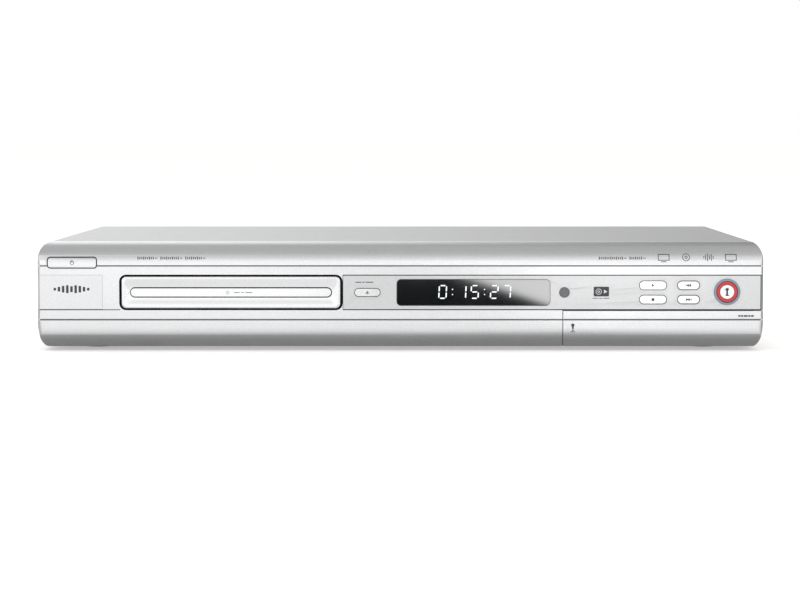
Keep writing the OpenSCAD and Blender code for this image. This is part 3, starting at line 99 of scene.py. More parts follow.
class Bench:
    """Adds and joins the nodes of one material, group or world."""

    def __init__(self, tree: bpy.types.NodeTree) -> None:
        """Keeps the tree that nodes are added to."""
        self.tree = tree

    def add(self, kind: str, **settings: object) -> bpy.types.Node:
        """Adds a node.

        Args:
            kind: Blender's name of the node type.
            settings: properties of the node to set.

        Returns:
            The new node.
        """
        node = self.tree.nodes.new(kind)
        for name, value in settings.items():
            setattr(node, name, value)
        return node

    def put(self, socket: bpy.types.NodeSocket, value: object) -> None:
        """Joins a socket to another socket, or gives it a plain value.

        Args:
            socket: the socket to feed.
            value: another socket, or a number, colour or vector.
        """
        if isinstance(value, bpy.types.NodeSocket):
            self.tree.links.new(value, socket)
        else:
            socket.default_value = value

    def math(self, operation: str, a: object, b: object = 0.0, clamp: bool = False) -> bpy.types.NodeSocket:
        """Returns the result of a Math node on a and b.

        Args:
            operation: Blender's name of the operation.
            a: the first value or socket.
            b: the second value or socket.
            clamp: whether the result is kept between 0 and 1.

        Returns:
            The socket with the result.
        """
        node = self.add("ShaderNodeMath", operation=operation, use_clamp=clamp)
        self.put(node.inputs[0], a)
        self.put(node.inputs[1], b)
        return node.outputs[0]

    def span(
        self, value: object, low: float, high: float, to_low: float, to_high: float
    ) -> bpy.types.NodeSocket:
        """Returns value carried smoothly from one range to another.

        Args:
            value: the value or socket to carry.
            low: the start of the first range.
            high: the end of the first range.
            to_low: what the start becomes.
            to_high: what the end becomes.

        Returns:
            The socket with the result.
        """
        node = self.add("ShaderNodeMapRange", interpolation_type="SMOOTHSTEP")
        self.put(node.inputs["Value"], value)
        ends = (("From Min", low), ("From Max", high), ("To Min", to_low), ("To Max", to_high))
        for name, number in ends:
            node.inputs[name].default_value = number
        return node.outputs["Result"]

    def blend(self, factor: object, a: object, b: object) -> bpy.types.NodeSocket:
        """Returns colour a turning into colour b as factor goes from 0 to 1.

        Args:
            factor: the value or socket that decides.
            a: the colour or socket at 0.
            b: the colour or socket at 1.

        Returns:
            The socket with the colour.
        """
        node = self.add("ShaderNodeMix", data_type="RGBA")
        self.put(node.inputs["Factor"], factor)
        self.put(node.inputs[6], a)
        self.put(node.inputs[7], b)
        return node.outputs[2]

    def stretched(self, vector: object, scale: Point) -> bpy.types.NodeSocket:
        """Returns vector scaled by a different amount along each axis.

        Args:
            vector: the socket with the vector.
            scale: the three factors.

        Returns:
            The socket with the scaled vector.
        """
        node = self.add("ShaderNodeMapping")
        self.put(node.inputs["Vector"], vector)
        node.inputs["Scale"].default_value = scale
        return node.outputs["Vector"]

    def noise(self, vector: object, scale: object, detail: float = 2.0) -> bpy.types.NodeSocket:
        """Returns a noise value from 0 to 1 at vector.

        Args:
            vector: the socket with the place.
            scale: how fine the noise is, as a value or socket.
            detail: how many finer layers are added.

        Returns:
            The socket with the value.
        """
        node = self.add("ShaderNodeTexNoise")
        self.put(node.inputs["Vector"], vector)
        self.put(node.inputs["Scale"], scale)
        node.inputs["Detail"].default_value = detail
        return node.outputs["Fac"]


def rgba(colour: Colour) -> tuple[float, float, float, float]:
    """Returns the colour with a full alpha."""
    return (*colour, 1.0)


def scaled(colour: Colour, factor: float) -> Colour:
    """Returns the colour made lighter or darker by factor."""
    return tuple(min(1.0, c * factor) for c in colour)


class Groups:
    """The shader groups that several finishes share, each built once."""

    _made: dict[str, bpy.types.NodeTree] = {}

    @classmethod
    def _start(
        cls, name: str, inputs: Sequence[tuple[str, str, object]], outputs: Sequence[tuple[str, str]]
    ) -> tuple[Bench, bpy.types.Node, bpy.types.Node]:
        """Starts a group.

        Args:
            name: the group's name.
            inputs: the name, socket type and default of each input.
            outputs: the name and socket type of each output.

        Returns:
            The bench of the new group, its input node and its output node.
        """
        tree = bpy.data.node_groups.new(name, "ShaderNodeTree")
        for label, kind, default in inputs:
            socket = tree.interface.new_socket(label, in_out="INPUT", socket_type=kind)
            if default is not None:
                socket.default_value = default
        for label, kind in outputs:
            tree.interface.new_socket(label, in_out="OUTPUT", socket_type=kind)
        bench = Bench(tree)
        cls._made[name] = tree
        return bench, bench.add("NodeGroupInput"), bench.add("NodeGroupOutput")

    @classmethod
    def place(cls, bench: Bench, name: str, **values: object) -> bpy.types.Node:
        """Places a group in a material.

        Args:
            bench: the material's bench.
            name: the group's name.
            values: what goes into each input; an underscore stands for a space.

        Returns:
            The group's node.
        """
        if name not in cls._made:
            getattr(cls, "_build_" + name)()
        node = bench.add("ShaderNodeGroup", node_tree=cls._made[name])
        for label, value in values.items():
            bench.put(node.inputs[label.replace("_", " ")], value)
        return node

    @classmethod
    def _build_mottle(cls) -> None:
        """Soft, broad changes of tone, as light dirt or uneven moulding leaves."""
        bench, given, out = cls._start(
            "mottle",
            [("Vector", "NodeSocketVector", None), ("Scale", "NodeSocketFloat", 30.0),
             ("Amount", "NodeSocketFloat", 0.05)],
            [("Tone", "NodeSocketFloat")],
        )
        broad = bench.noise(given.outputs["Vector"], given.outputs["Scale"], 4.0)
        swing = bench.math("SUBTRACT", broad, 0.5)
        swing = bench.math("MULTIPLY", swing, given.outputs["Amount"])
        bench.put(out.inputs["Tone"], bench.math("ADD", swing, 1.0))

    @classmethod
    def _build_flake(cls) -> None:
        """The tiny bright flakes of silver paint."""
        bench, given, out = cls._start(
            "flake",
            [("Vector", "NodeSocketVector", None), ("Size", "NodeSocketFloat", 2500.0),
             ("Amount", "NodeSocketFloat", 0.1)],
            [("Tone", "NodeSocketFloat"), ("Height", "NodeSocketFloat")],
        )
        cells = bench.add("ShaderNodeTexVoronoi", feature="F1")
        bench.put(cells.inputs["Vector"], given.outputs["Vector"])
        bench.put(cells.inputs["Scale"], given.outputs["Size"])
        split = bench.add("ShaderNodeSeparateColor")
        bench.put(split.inputs[0], cells.outputs["Color"])
        swing = bench.math("MULTIPLY", bench.math("SUBTRACT", split.outputs[0], 0.5), given.outputs["Amount"])
        bench.put(out.inputs["Tone"], bench.math("ADD", swing, 1.0))
        bench.put(out.inputs["Height"], bench.math("MULTIPLY", split.outputs[1], given.outputs["Amount"]))

    @classmethod
    def _build_grain(cls) -> None:
        """The fine sparked grain of moulded plastic and the skin of rubber."""
        bench, given, out = cls._start(
            "grain",
            [("Vector", "NodeSocketVector", None), ("Scale", "NodeSocketFloat", 1200.0),
             ("Depth", "NodeSocketFloat", 0.5)],
            [("Height", "NodeSocketFloat"), ("Polish", "NodeSocketFloat")],
        )
        fine = bench.noise(given.outputs["Vector"], given.outputs["Scale"], 3.0)
        bench.put(out.inputs["Height"], bench.math("MULTIPLY", fine, given.outputs["Depth"]))
        slow = bench.noise(given.outputs["Vector"], 90.0, 3.0)
        bench.put(out.inputs["Polish"], bench.math("SUBTRACT", slow, 0.5))

    @classmethod
    def _build_brushed(cls) -> None:
        """Fine lines that rolling or brushing leaves in metal; the vector comes in stretched."""
        bench, given, out = cls._start(
            "brushed",
            [("Vector", "NodeSocketVector", None), ("Amount", "NodeSocketFloat", 0.1)],
            [("Tone", "NodeSocketFloat"), ("Height", "NodeSocketFloat")],
        )
        lines = bench.noise(given.outputs["Vector"], 1.0, 5.0)
        swing = bench.math("MULTIPLY", bench.math("SUBTRACT", lines, 0.5), given.outputs["Amount"])
        bench.put(out.inputs["Tone"], bench.math("ADD", swing, 1.0))
        bench.put(out.inputs["Height"], swing)

    @classmethod
    def _build_dust(cls) -> None:
        """A thin veil of dust on what faces upwards."""
        bench, given, out = cls._start(
            "dust",
            [("Vector", "NodeSocketVector", None), ("Amount", "NodeSocketFloat", 0.1)],
            [("Mask", "NodeSocketFloat")],
        )
        surface = bench.add("ShaderNodeNewGeometry")
        split = bench.add("ShaderNodeSeparateXYZ")
        bench.put(split.inputs[0], surface.outputs["Normal"])
        up = bench.span(split.outputs["Z"], 0.4, 1.0, 0.0, 1.0)
        specks = bench.span(bench.noise(given.outputs["Vector"], 420.0, 6.0), 0.35, 0.75, 0.2, 1.0)
        mask = bench.math("MULTIPLY", bench.math("MULTIPLY", up, specks), given.outputs["Amount"], clamp=True)
        bench.put(out.inputs["Mask"], mask)


class Finish(Protocol):
    """Anything that can make a material."""

    def material(self, name: str) -> bpy.types.Material:
        """Returns the material under that name.

        Args:
            name: the material's name.

        Returns:
            The new material.
        """
        ...


def start_material(name: str) -> tuple[Bench, bpy.types.Node, bpy.types.NodeSocket, bpy.types.Material]:
    """Starts a material with one Principled shader.

    Args:
        name: the material's name.

    Returns:
        Its bench, its shader node, its Object coordinates and the material.
    """
    made = bpy.data.materials.new(name)
    made.use_nodes = True
    bench = Bench(made.node_tree)
    made.node_tree.nodes.clear()
    shader = bench.add("ShaderNodeBsdfPrincipled")
    out = bench.add("ShaderNodeOutputMaterial")
    bench.put(out.inputs["Surface"], shader.outputs["BSDF"])
    place = bench.add("ShaderNodeTexCoord").outputs["Object"]
    return bench, shader, place, made


def bump(bench: Bench, shader: bpy.types.Node, height: object, distance: float) -> None:
    """Turns a height into the shader's normal.

    Args:
        bench: the material's bench.
        shader: the shader to bump.
        height: the socket with the height, from 0 to 1.
        distance: how deep a height of 1 is, in metres.
    """
    node = bench.add("ShaderNodeBump")
    node.inputs["Strength"].default_value = 1.0
    node.inputs["Distance"].default_value = distance
    bench.put(node.inputs["Height"], height)
    bench.put(shader.inputs["Normal"], node.outputs["Normal"])


@dataclass(frozen=True)
class SilverPaint:
    """Satin silver paint with fine metal flakes over moulded plastic or steel."""

    tone: Colour
    metallic: float = 0.75
    roughness: float = 0.36
    flake: float = 0.10
    flake_size: float = 2600.0
    dust: float = 0.05
    coat: float = 0.15

    def material(self, name: str) -> bpy.types.Material:
        """Returns the material under that name.

        Args:
            name: the material's name.

        Returns:
            The new material.
        """
        bench, shader, place, made = start_material(name)
        mottle = Groups.place(bench, "mottle", Vector=place, Scale=14.0, Amount=0.05)
        flake = Groups.place(bench, "flake", Vector=place, Size=self.flake_size, Amount=self.flake)
        grain = Groups.place(bench, "grain", Vector=place, Scale=1500.0, Depth=0.35)
        dust = Groups.place(bench, "dust", Vector=place, Amount=self.dust)
        tone = bench.math("MULTIPLY", mottle.outputs["Tone"], flake.outputs["Tone"])
        colour = bench.add("ShaderNodeMix", data_type="RGBA", blend_type="MULTIPLY")
        colour.inputs["Factor"].default_value = 1.0
        bench.put(colour.inputs[6], rgba(self.tone))
        grey = bench.add("ShaderNodeCombineColor")
        for channel in range(3):
            bench.put(grey.inputs[channel], tone)
        bench.put(colour.inputs[7], grey.outputs[0])
        dusty = bench.blend(dust.outputs["Mask"], colour.outputs[2], rgba((0.55, 0.54, 0.52)))
        bench.put(shader.inputs["Base Color"], dusty)
        rough = bench.math("ADD", bench.math("MULTIPLY", grain.outputs["Polish"], 0.12), self.roughness)
        rough = bench.math("ADD", rough, bench.math("MULTIPLY", dust.outputs["Mask"], 0.4), clamp=True)
        bench.put(shader.inputs["Roughness"], rough)
        shader.inputs["Metallic"].default_value = self.metallic
        shader.inputs["Coat Weight"].default_value = self.coat
        shader.inputs["Coat Roughness"].default_value = 0.18
        height = bench.math("ADD", grain.outputs["Height"], flake.outputs["Height"])
        bump(bench, shader, height, distance=0.00002)
        return made


@dataclass(frozen=True)
class MouldedPlastic:
    """Moulded plastic, from sparked matt to polished."""

    tone: Colour
    roughness: float = 0.5
    grain: float = 0.6
    grain_scale: float = 1100.0
    coat: float = 0.0
    dust: float = 0.06
    mottle: float = 0.12

    def material(self, name: str) -> bpy.types.Material:
        """Returns the material under that name.

        Args:
            name: the material's name.

        Returns:
            The new material.
        """
        bench, shader, place, made = start_material(name)
        mottle = Groups.place(bench, "mottle", Vector=place, Scale=22.0, Amount=self.mottle)
        grain = Groups.place(bench, "grain", Vector=place, Scale=self.grain_scale, Depth=self.grain)
        dust = Groups.place(bench, "dust", Vector=place, Amount=self.dust)
        shade = bench.span(mottle.outputs["Tone"], 1 - self.mottle, 1 + self.mottle, 0.0, 1.0)
        colour = bench.blend(shade, rgba(scaled(self.tone, 0.9)), rgba(scaled(self.tone, 1.1)))
        colour = bench.blend(dust.outputs["Mask"], colour, rgba((0.42, 0.41, 0.39)))
        bench.put(shader.inputs["Base Color"], colour)
        rough = bench.math("ADD", bench.math("MULTIPLY", grain.outputs["Polish"], 0.2), self.roughness)
        rough = bench.math("ADD", rough, bench.math("MULTIPLY", dust.outputs["Mask"], 0.5), clamp=True)
        bench.put(shader.inputs["Roughness"], rough)
        shader.inputs["Coat Weight"].default_value = self.coat
        shader.inputs["Coat Roughness"].default_value = 0.06
        bump(bench, shader, grain.outputs["Height"], distance=0.00004)
        return made


@dataclass(frozen=True)
class SheetMetal:
    """Rolled or brushed metal with lines along one axis."""

    tone: Colour
    along: Axis = Axis.X
    roughness: float = 0.34
    lines: float = 0.16
    dust: float = 0.05
    line_scale: float = 2600.0

    def material(self, name: str) -> bpy.types.Material:
        """Returns the material under that name.

        Args:
            name: the material's name.

        Returns:
            The new material.
        """
        bench, shader, place, made = start_material(name)
        scale = [self.line_scale] * 3
        scale[self.along.value] = self.line_scale / 60
        along = bench.stretched(place, tuple(scale))
        brushed = Groups.place(bench, "brushed", Vector=along, Amount=self.lines)
        mottle = Groups.place(bench, "mottle", Vector=place, Scale=26.0, Amount=0.1)
        dust = Groups.place(bench, "dust", Vector=place, Amount=self.dust)
        tone = bench.math("MULTIPLY", brushed.outputs["Tone"], mottle.outputs["Tone"])
        shade = bench.span(tone, 0.85, 1.15, 0.0, 1.0)
        colour = bench.blend(shade, rgba(scaled(self.tone, 0.88)), rgba(scaled(self.tone, 1.1)))
        colour = bench.blend(dust.outputs["Mask"], colour, rgba((0.45, 0.44, 0.42)))
        bench.put(shader.inputs["Base Color"], colour)
        rough = bench.math("ADD", bench.math("MULTIPLY", brushed.outputs["Height"], 1.2), self.roughness)
        bench.put(shader.inputs["Roughness"], bench.math("ADD", rough, 0.0, clamp=True))
        shader.inputs["Metallic"].default_value = 1.0
        bump(bench, shader, brushed.outputs["Height"], distance=0.00008)
        return made


@dataclass(frozen=True)
class ZincSheet:
    """Galvanised steel with its broad crystals."""

    tone: Colour = (0.68, 0.69, 0.70)
    crystal: float = 260.0
    roughness: float = 0.38

    def material(self, name: str) -> bpy.types.Material:
        """Returns the material under that name.

        Args:
            name: the material's name.

        Returns:
            The new material.
        """
        bench, shader, place, made = start_material(name)
        cells = bench.add("ShaderNodeTexVoronoi", feature="F1")
        bench.put(cells.inputs["Vector"], place)
        cells.inputs["Scale"].default_value = self.crystal
        split = bench.add("ShaderNodeSeparateColor")
        bench.put(split.inputs[0], cells.outputs["Color"])
        mottle = Groups.place(bench, "mottle", Vector=place, Scale=18.0, Amount=0.2)
        crystals = bench.span(split.outputs[0], 0.0, 1.0, 0.92, 1.05)
        tone = bench.math("MULTIPLY", crystals, mottle.outputs["Tone"])
        shade = bench.span(tone, 0.8, 1.2, 0.0, 1.0)
        bench.put(shader.inputs["Base Color"],
                  bench.blend(shade, rgba(scaled(self.tone, 0.82)), rgba(scaled(self.tone, 1.12))))
        bench.put(shader.inputs["Roughness"],
                  bench.math("ADD", bench.math("MULTIPLY", split.outputs[1], 0.14), self.roughness - 0.07))
        shader.inputs["Metallic"].default_value = 1.0
        fine = bench.noise(place, 900.0, 3.0)
        bump(bench, shader, fine, distance=0.00003)
        return made


@dataclass(frozen=True)
class BrightMetal:
    """Plated or ground metal, nearly mirror bright."""

    tone: Colour = (0.82, 0.82, 0.84)
    roughness: float = 0.12

    def material(self, name: str) -> bpy.types.Material:
        """Returns the material under that name.

        Args:
            name: the material's name.

        Returns:
            The new material.
        """
        bench, shader, place, made = start_material(name)
        mottle = Groups.place(bench, "mottle", Vector=place, Scale=160.0, Amount=0.16)
        shade = bench.span(mottle.outputs["Tone"], 0.9, 1.1, 0.0, 1.0)
        bench.put(shader.inputs["Base Color"],
                  bench.blend(shade, rgba(scaled(self.tone, 0.92)), rgba(scaled(self.tone, 1.06))))
        bench.put(shader.inputs["Roughness"], bench.span(mottle.outputs["Tone"], 0.9, 1.1,
                                                         self.roughness * 1.5, self.roughness * 0.7))
        shader.inputs["Metallic"].default_value = 1.0
        return made


@dataclass(frozen=True)
class Rubber:
    """Dark rubber with a dull skin."""

    tone: Colour = (0.035, 0.035, 0.036)
    roughness: float = 0.72

    def material(self, name: str) -> bpy.types.Material:
        """Returns the material under that name.

        Args:
            name: the material's name.

        Returns:
            The new material.
        """
        bench, shader, place, made = start_material(name)
        grain = Groups.place(bench, "grain", Vector=place, Scale=700.0, Depth=1.0)
        dust = Groups.place(bench, "dust", Vector=place, Amount=0.25)
        shade = bench.span(grain.outputs["Polish"], -0.3, 0.3, 0.0, 1.0)
        colour = bench.blend(shade, rgba(scaled(self.tone, 0.8)), rgba(scaled(self.tone, 1.4)))
        dusty = bench.blend(dust.outputs["Mask"], colour, rgba((0.3, 0.29, 0.27)))
        bench.put(shader.inputs["Base Color"], dusty)
        bench.put(shader.inputs["Roughness"],
                  bench.math("ADD", bench.math("MULTIPLY", grain.outputs["Polish"], 0.2), self.roughness))
        bump(bench, shader, grain.outputs["Height"], distance=0.00006)
        return made


@dataclass(frozen=True)
class Laminate:
    """A circuit board's lacquered laminate with its copper tracks showing through."""

    tone: Colour = (0.02, 0.13, 0.05)
    track: Colour = (0.05, 0.24, 0.09)
    pitch: float = 260.0
    roughness: float = 0.32

    def material(self, name: str) -> bpy.types.Material:
        """Returns the material under that name.

        Args:
            name: the material's name.

        Returns:
            The new material.
        """
        bench, shader, place, made = start_material(name)
        bricks = bench.add(
            "ShaderNodeTexBrick", offset=0.37, offset_frequency=3, squash=1.6, squash_frequency=4
        )
        bench.put(bricks.inputs["Vector"], place)
        for label, value in (("Scale", self.pitch), ("Mortar Size", 0.07), ("Mortar Smooth", 0.1),
                             ("Brick Width", 1.9), ("Row Height", 0.42), ("Bias", 0.0)):
            bricks.inputs[label].default_value = value
        dots = bench.add("ShaderNodeTexVoronoi", feature="F1")
        bench.put(dots.inputs["Vector"], place)
        dots.inputs["Scale"].default_value = self.pitch * 0.9
        dots.inputs["Randomness"].default_value = 0.35
        pads = bench.span(dots.outputs["Distance"], 0.14, 0.2, 1.0, 0.0)
        colour = bench.blend(bricks.outputs["Fac"], rgba(self.tone), rgba(self.track))
        colour = bench.blend(pads, colour, rgba((0.55, 0.55, 0.52)))
        mottle = Groups.place(bench, "mottle", Vector=place, Scale=30.0, Amount=0.2)
        shade = bench.span(mottle.outputs["Tone"], 0.85, 1.15, 0.0, 0.25)
        bench.put(shader.inputs["Base Color"], bench.blend(shade, colour, rgba(scaled(self.tone, 0.5))))
        bench.put(shader.inputs["Roughness"], bench.span(mottle.outputs["Tone"], 0.85, 1.15,
                                                         self.roughness + 0.1, self.roughness - 0.08))
        shader.inputs["Coat Weight"].default_value = 0.3
        bump(bench, shader, bench.math("ADD", bricks.outputs["Fac"], pads), distance=0.00004)
        return made


@dataclass(frozen=True)
class DarkGlass:
    """A polished dark window that mirrors the light in front of it."""

    tone: Colour = (0.006, 0.007, 0.008)
    roughness: float = 0.10
    coat: float = 1.0

    def material(self, name: str) -> bpy.types.Material:
        """Returns the material under that name.

        Args:
            name: the material's name.

        Returns:
            The new material.
        """
        bench, shader, place, made = start_material(name)
        mottle = Groups.place(bench, "mottle", Vector=place, Scale=60.0, Amount=0.3)
        shade = bench.span(mottle.outputs["Tone"], 0.85, 1.15, 0.0, 1.0)
        tone = bench.blend(shade, rgba(self.tone), rgba(scaled(self.tone, 1.8)))
        bench.put(shader.inputs["Base Color"], tone)
        bench.put(shader.inputs["Roughness"], bench.span(mottle.outputs["Tone"], 0.85, 1.15,
                                                         self.roughness * 0.9, self.roughness * 1.1))
        shader.inputs["IOR"].default_value = 2.3
        shader.inputs["Coat Weight"].default_value = self.coat
        shader.inputs["Coat Roughness"].default_value = self.roughness
        return made


@dataclass(frozen=True)
class TubeGlass:
    """The clear front of the display tube over its dark inside."""

    tone: Colour = (0.05, 0.07, 0.07)

    def material(self, name: str) -> bpy.types.Material:
        """Returns the material under that name.

        Args:
            name: the material's name.

        Returns:
            The new material.
        """
        bench, shader, place, made = start_material(name)
        mesh_lines = bench.noise(bench.stretched(place, (3000.0, 60.0, 3000.0)), 1.0, 2.0)
        tone = bench.blend(mesh_lines, rgba(scaled(self.tone, 0.5)), rgba(self.tone))
        bench.put(shader.inputs["Base Color"], tone)
        bench.put(shader.inputs["Roughness"], bench.span(mesh_lines, 0.0, 1.0, 0.04, 0.12))
        shader.inputs["Coat Weight"].default_value = 1.0
        shader.inputs["Coat Roughness"].default_value = 0.03
        return made


@dataclass(frozen=True)
class LitSegment:
    """The pale glow of the display's characters."""

    tone: Colour = (0.72, 0.76, 0.76)
    strength: float = 0.62

    def material(self, name: str) -> bpy.types.Material:
        """Returns the material under that name.

        Args:
            name: the material's name.

        Returns:
            The new material.
        """
        bench, shader, place, made = start_material(name)
        dots = bench.noise(place, 2200.0, 1.0)
        glow = bench.blend(dots, rgba(scaled(self.tone, 0.92)), rgba(self.tone))
        bench.put(shader.inputs["Base Color"], glow)
        bench.put(shader.inputs["Emission Color"], glow)
        shader.inputs["Emission Strength"].default_value = self.strength
        shader.inputs["Roughness"].default_value = 0.3
        return made


@dataclass(frozen=True)
class Ink:
    """Screen-printed ink, slightly uneven at its grain."""

    tone: Colour
    roughness: float = 0.55

    def material(self, name: str) -> bpy.types.Material:
        """Returns the material under that name.

        Args:
            name: the material's name.

        Returns:
            The new material.
        """
        bench, shader, place, made = start_material(name)
        speck = bench.noise(place, 3000.0, 2.0)
        bench.put(shader.inputs["Base Color"],
                  bench.blend(speck, rgba(scaled(self.tone, 0.85)), rgba(scaled(self.tone, 1.1))))
        rough = bench.span(speck, 0.0, 1.0, self.roughness - 0.1, self.roughness + 0.1)
        bench.put(shader.inputs["Roughness"], rough)
        return made


SILVER: Colour = (0.87, 0.875, 0.885)
BRIGHT_SILVER: Colour = (0.93, 0.933, 0.94)

BODY_PAINT = SilverPaint(SILVER, metallic=0.9, roughness=0.3)
PANEL_PAINT = SilverPaint((0.70, 0.705, 0.712), metallic=0.75, roughness=0.33)
COVER_PAINT = SilverPaint((0.54, 0.545, 0.55), metallic=0.7, roughness=0.42, flake=0.16, dust=0.08)
DOOR_PAINT = SilverPaint((0.90, 0.905, 0.915), metallic=0.9, roughness=0.22, flake=0.05)
KEY_PAINT = SilverPaint(BRIGHT_SILVER, metallic=0.75, roughness=0.2, flake=0.04, coat=0.4)
BLACK_PLASTIC = MouldedPlastic((0.022, 0.022, 0.024), roughness=0.46)
DARK_PLASTIC = MouldedPlastic((0.06, 0.06, 0.065), roughness=0.5)
DRIVE_PLASTIC = MouldedPlastic((0.045, 0.046, 0.05), roughness=0.52, grain=0.9)
WHITE_ACETAL = MouldedPlastic((0.74, 0.73, 0.69), roughness=0.33, grain=0.25, dust=0.02)
STEEL = SheetMetal((0.58, 0.58, 0.59))
TIN_PLATE = SheetMetal((0.66, 0.67, 0.68), along=Axis.Y, roughness=0.28)
ZINC = ZincSheet()
CHROME = BrightMetal()
GREEN_BOARD = Laminate()
TAN_BOARD = Laminate((0.30, 0.17, 0.06), (0.36, 0.22, 0.09), pitch=150.0, roughness=0.45)
# painted shade: dark plastic laid in the front's grooves and gaps, where shade falls
PAINTED_GAP_SHADE = MouldedPlastic((0.035, 0.037, 0.04), roughness=0.6, grain=0.5)
GROOVE_SHADE = MouldedPlastic((0.11, 0.114, 0.12), roughness=0.6, grain=0.5)
DARK_INK = Ink((0.05, 0.055, 0.06))
GREY_INK = Ink((0.20, 0.21, 0.22))
PALE_INK = Ink((0.72, 0.73, 0.74))

NODE_FINISHES: dict[str, Finish] = {
    "front_bezel": BODY_PAINT,
    "flap_door": BODY_PAINT,
    "badge_plate": SilverPaint((0.86, 0.865, 0.875), metallic=0.85, roughness=0.36),
    "control_panel": PANEL_PAINT,
    "display_window": DarkGlass(roughness=0.05),
    "ir_lens": MouldedPlastic((0.085, 0.088, 0.095), roughness=0.22, grain=0.1, coat=0.4),
    "record_collar": MouldedPlastic((0.20, 0.26, 0.31), roughness=0.2, grain=0.1, coat=0.6),
    "record_ring": MouldedPlastic((0.56, 0.012, 0.018), roughness=0.2, grain=0.1, coat=0.7),
    "record_button": KEY_PAINT,
    "standby_button": SilverPaint((0.85, 0.855, 0.865), metallic=0.85, roughness=0.25, flake=0.05),
    "open_close_button": KEY_PAINT,
    "play_button": KEY_PAINT,
    "stop_button": KEY_PAINT,
    "back_button": KEY_PAINT,
    "next_button": KEY_PAINT,
    "tray_door": DOOR_PAINT,
    "tray_door_bar": KEY_PAINT,
    "top_cover": COVER_PAINT,
    "rear_panel": ZINC,
    "chassis_base": ZINC,
    "feet": Rubber(),
    "screws": SheetMetal((0.52, 0.52, 0.53), roughness=0.25, lines=0.08),
    "socket_plate": BLACK_PLASTIC,
    "phono_sleeves": CHROME,
    "phono_inserts": MouldedPlastic((0.30, 0.30, 0.29), roughness=0.45),
    "dv_socket": DARK_PLASTIC,
    "s_video_sockets": BLACK_PLASTIC,
    "front_av_board": GREEN_BOARD,
    "front_board": GREEN_BOARD,
    "display_tube": TubeGlass(),
    "key_switches": BLACK_PLASTIC,
    "disc_tray": MouldedPlastic((0.05, 0.051, 0.055), roughness=0.42, grain=0.8),
    "drive_frame": DRIVE_PLASTIC,
    "drive_top_plate": ZINC,
    "clamper": WHITE_ACETAL,
    "loading_motor": STEEL,
    "motor_pulley": WHITE_ACETAL,
    "loading_belt": Rubber((0.02, 0.02, 0.02), 0.6),
    "pulley_gear": WHITE_ACETAL,
    "tray_gear": WHITE_ACETAL,
    "cam_slider": WHITE_ACETAL,
    "traverse_frame": MouldedPlastic((0.05, 0.052, 0.06), roughness=0.4),
    "guide_rods": CHROME,
    "spindle_motor": STEEL,
    "turntable": DARK_PLASTIC,
    "pickup": DARK_PLASTIC,
    "lead_screw": CHROME,
    "sled_motor": STEEL,
    "fan_frame": BLACK_PLASTIC,
    "fan_impeller": BLACK_PLASTIC,
    "power_board": TAN_BOARD,
    "power_transformer": MouldedPlastic((0.10, 0.095, 0.09), roughness=0.5),
    "power_capacitors": MouldedPlastic((0.02, 0.028, 0.07), roughness=0.25, coat=0.5),
    "mains_inlet": BLACK_PLASTIC,
    "main_board": GREEN_BOARD,
    "main_heatsink": SheetMetal((0.62, 0.63, 0.64), along=Axis.Y, roughness=0.35),
    "av_board": GREEN_BOARD,
    "tuner": TIN_PLATE,
    "scart_sockets": BLACK_PLASTIC,
    "ribbon_cables": MouldedPlastic((0.42, 0.43, 0.45), roughness=0.5),
}

_materials: dict[Finish, bpy.types.Material] = {}


def material_of(finish: Finish, name: str) -> bpy.types.Material:
    """Returns the material of a finish, made the first time under that name."""
    if finish not in _materials:
        _materials[finish] = finish.material(name)
    return _materials[finish]


# ------------------------------------------------------------------ mesh helpers

FRAME: dict = {}


def box_of(node: str) -> tuple[Vector, Vector]:
    """Returns the low and high corners of a node's box."""
    low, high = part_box(node)
    return Vector(low), Vector(high)


def centre_of(node: str) -> Vector:
    """Returns the middle of a node's box."""
    low, high = box_of(node)
    return (low + high) / 2


def outline(width: float, height: float, radius: float, corner: int = 10) -> list[tuple[float, float]]:
    """Returns the points of a rectangle with round corners, counter-clockwise round (0, 0).

    Args:
        width: its width.
        height: its height.
        radius: the radius of its corners; half the height makes a pill.
        corner: how many steps make one corner.

    Returns:
        The points, the same number whatever the sizes.
    """
    radius = min(radius, width / 2, height / 2)
    if radius <= 0.0:
        corners = ((1, -1), (1, 1), (-1, 1), (-1, -1))
        return [(side_x * width / 2, side_z * height / 2) for side_x, side_z in corners]
    middle_x, middle_z = width / 2 - radius, height / 2 - radius
    points = []
    for turn, (side_x, side_z) in enumerate(((1, 1), (-1, 1), (-1, -1), (1, -1))):
        for step in range(corner + 1):
            angle = math.pi / 2 * (turn + step / corner)
            points.append((side_x * middle_x + radius * math.cos(angle),
                           side_z * middle_z + radius * math.sin(angle)))
    return points


def facing_front(
    points: Iterable[tuple[float, float]], centre: Sequence[float], depth: float
) -> list[Vector]:
    """Stands flat points up at a depth, round a centre that gives X and Z."""
    return [Vector((centre[0] + x, depth, centre[-1] + z)) for x, z in points]


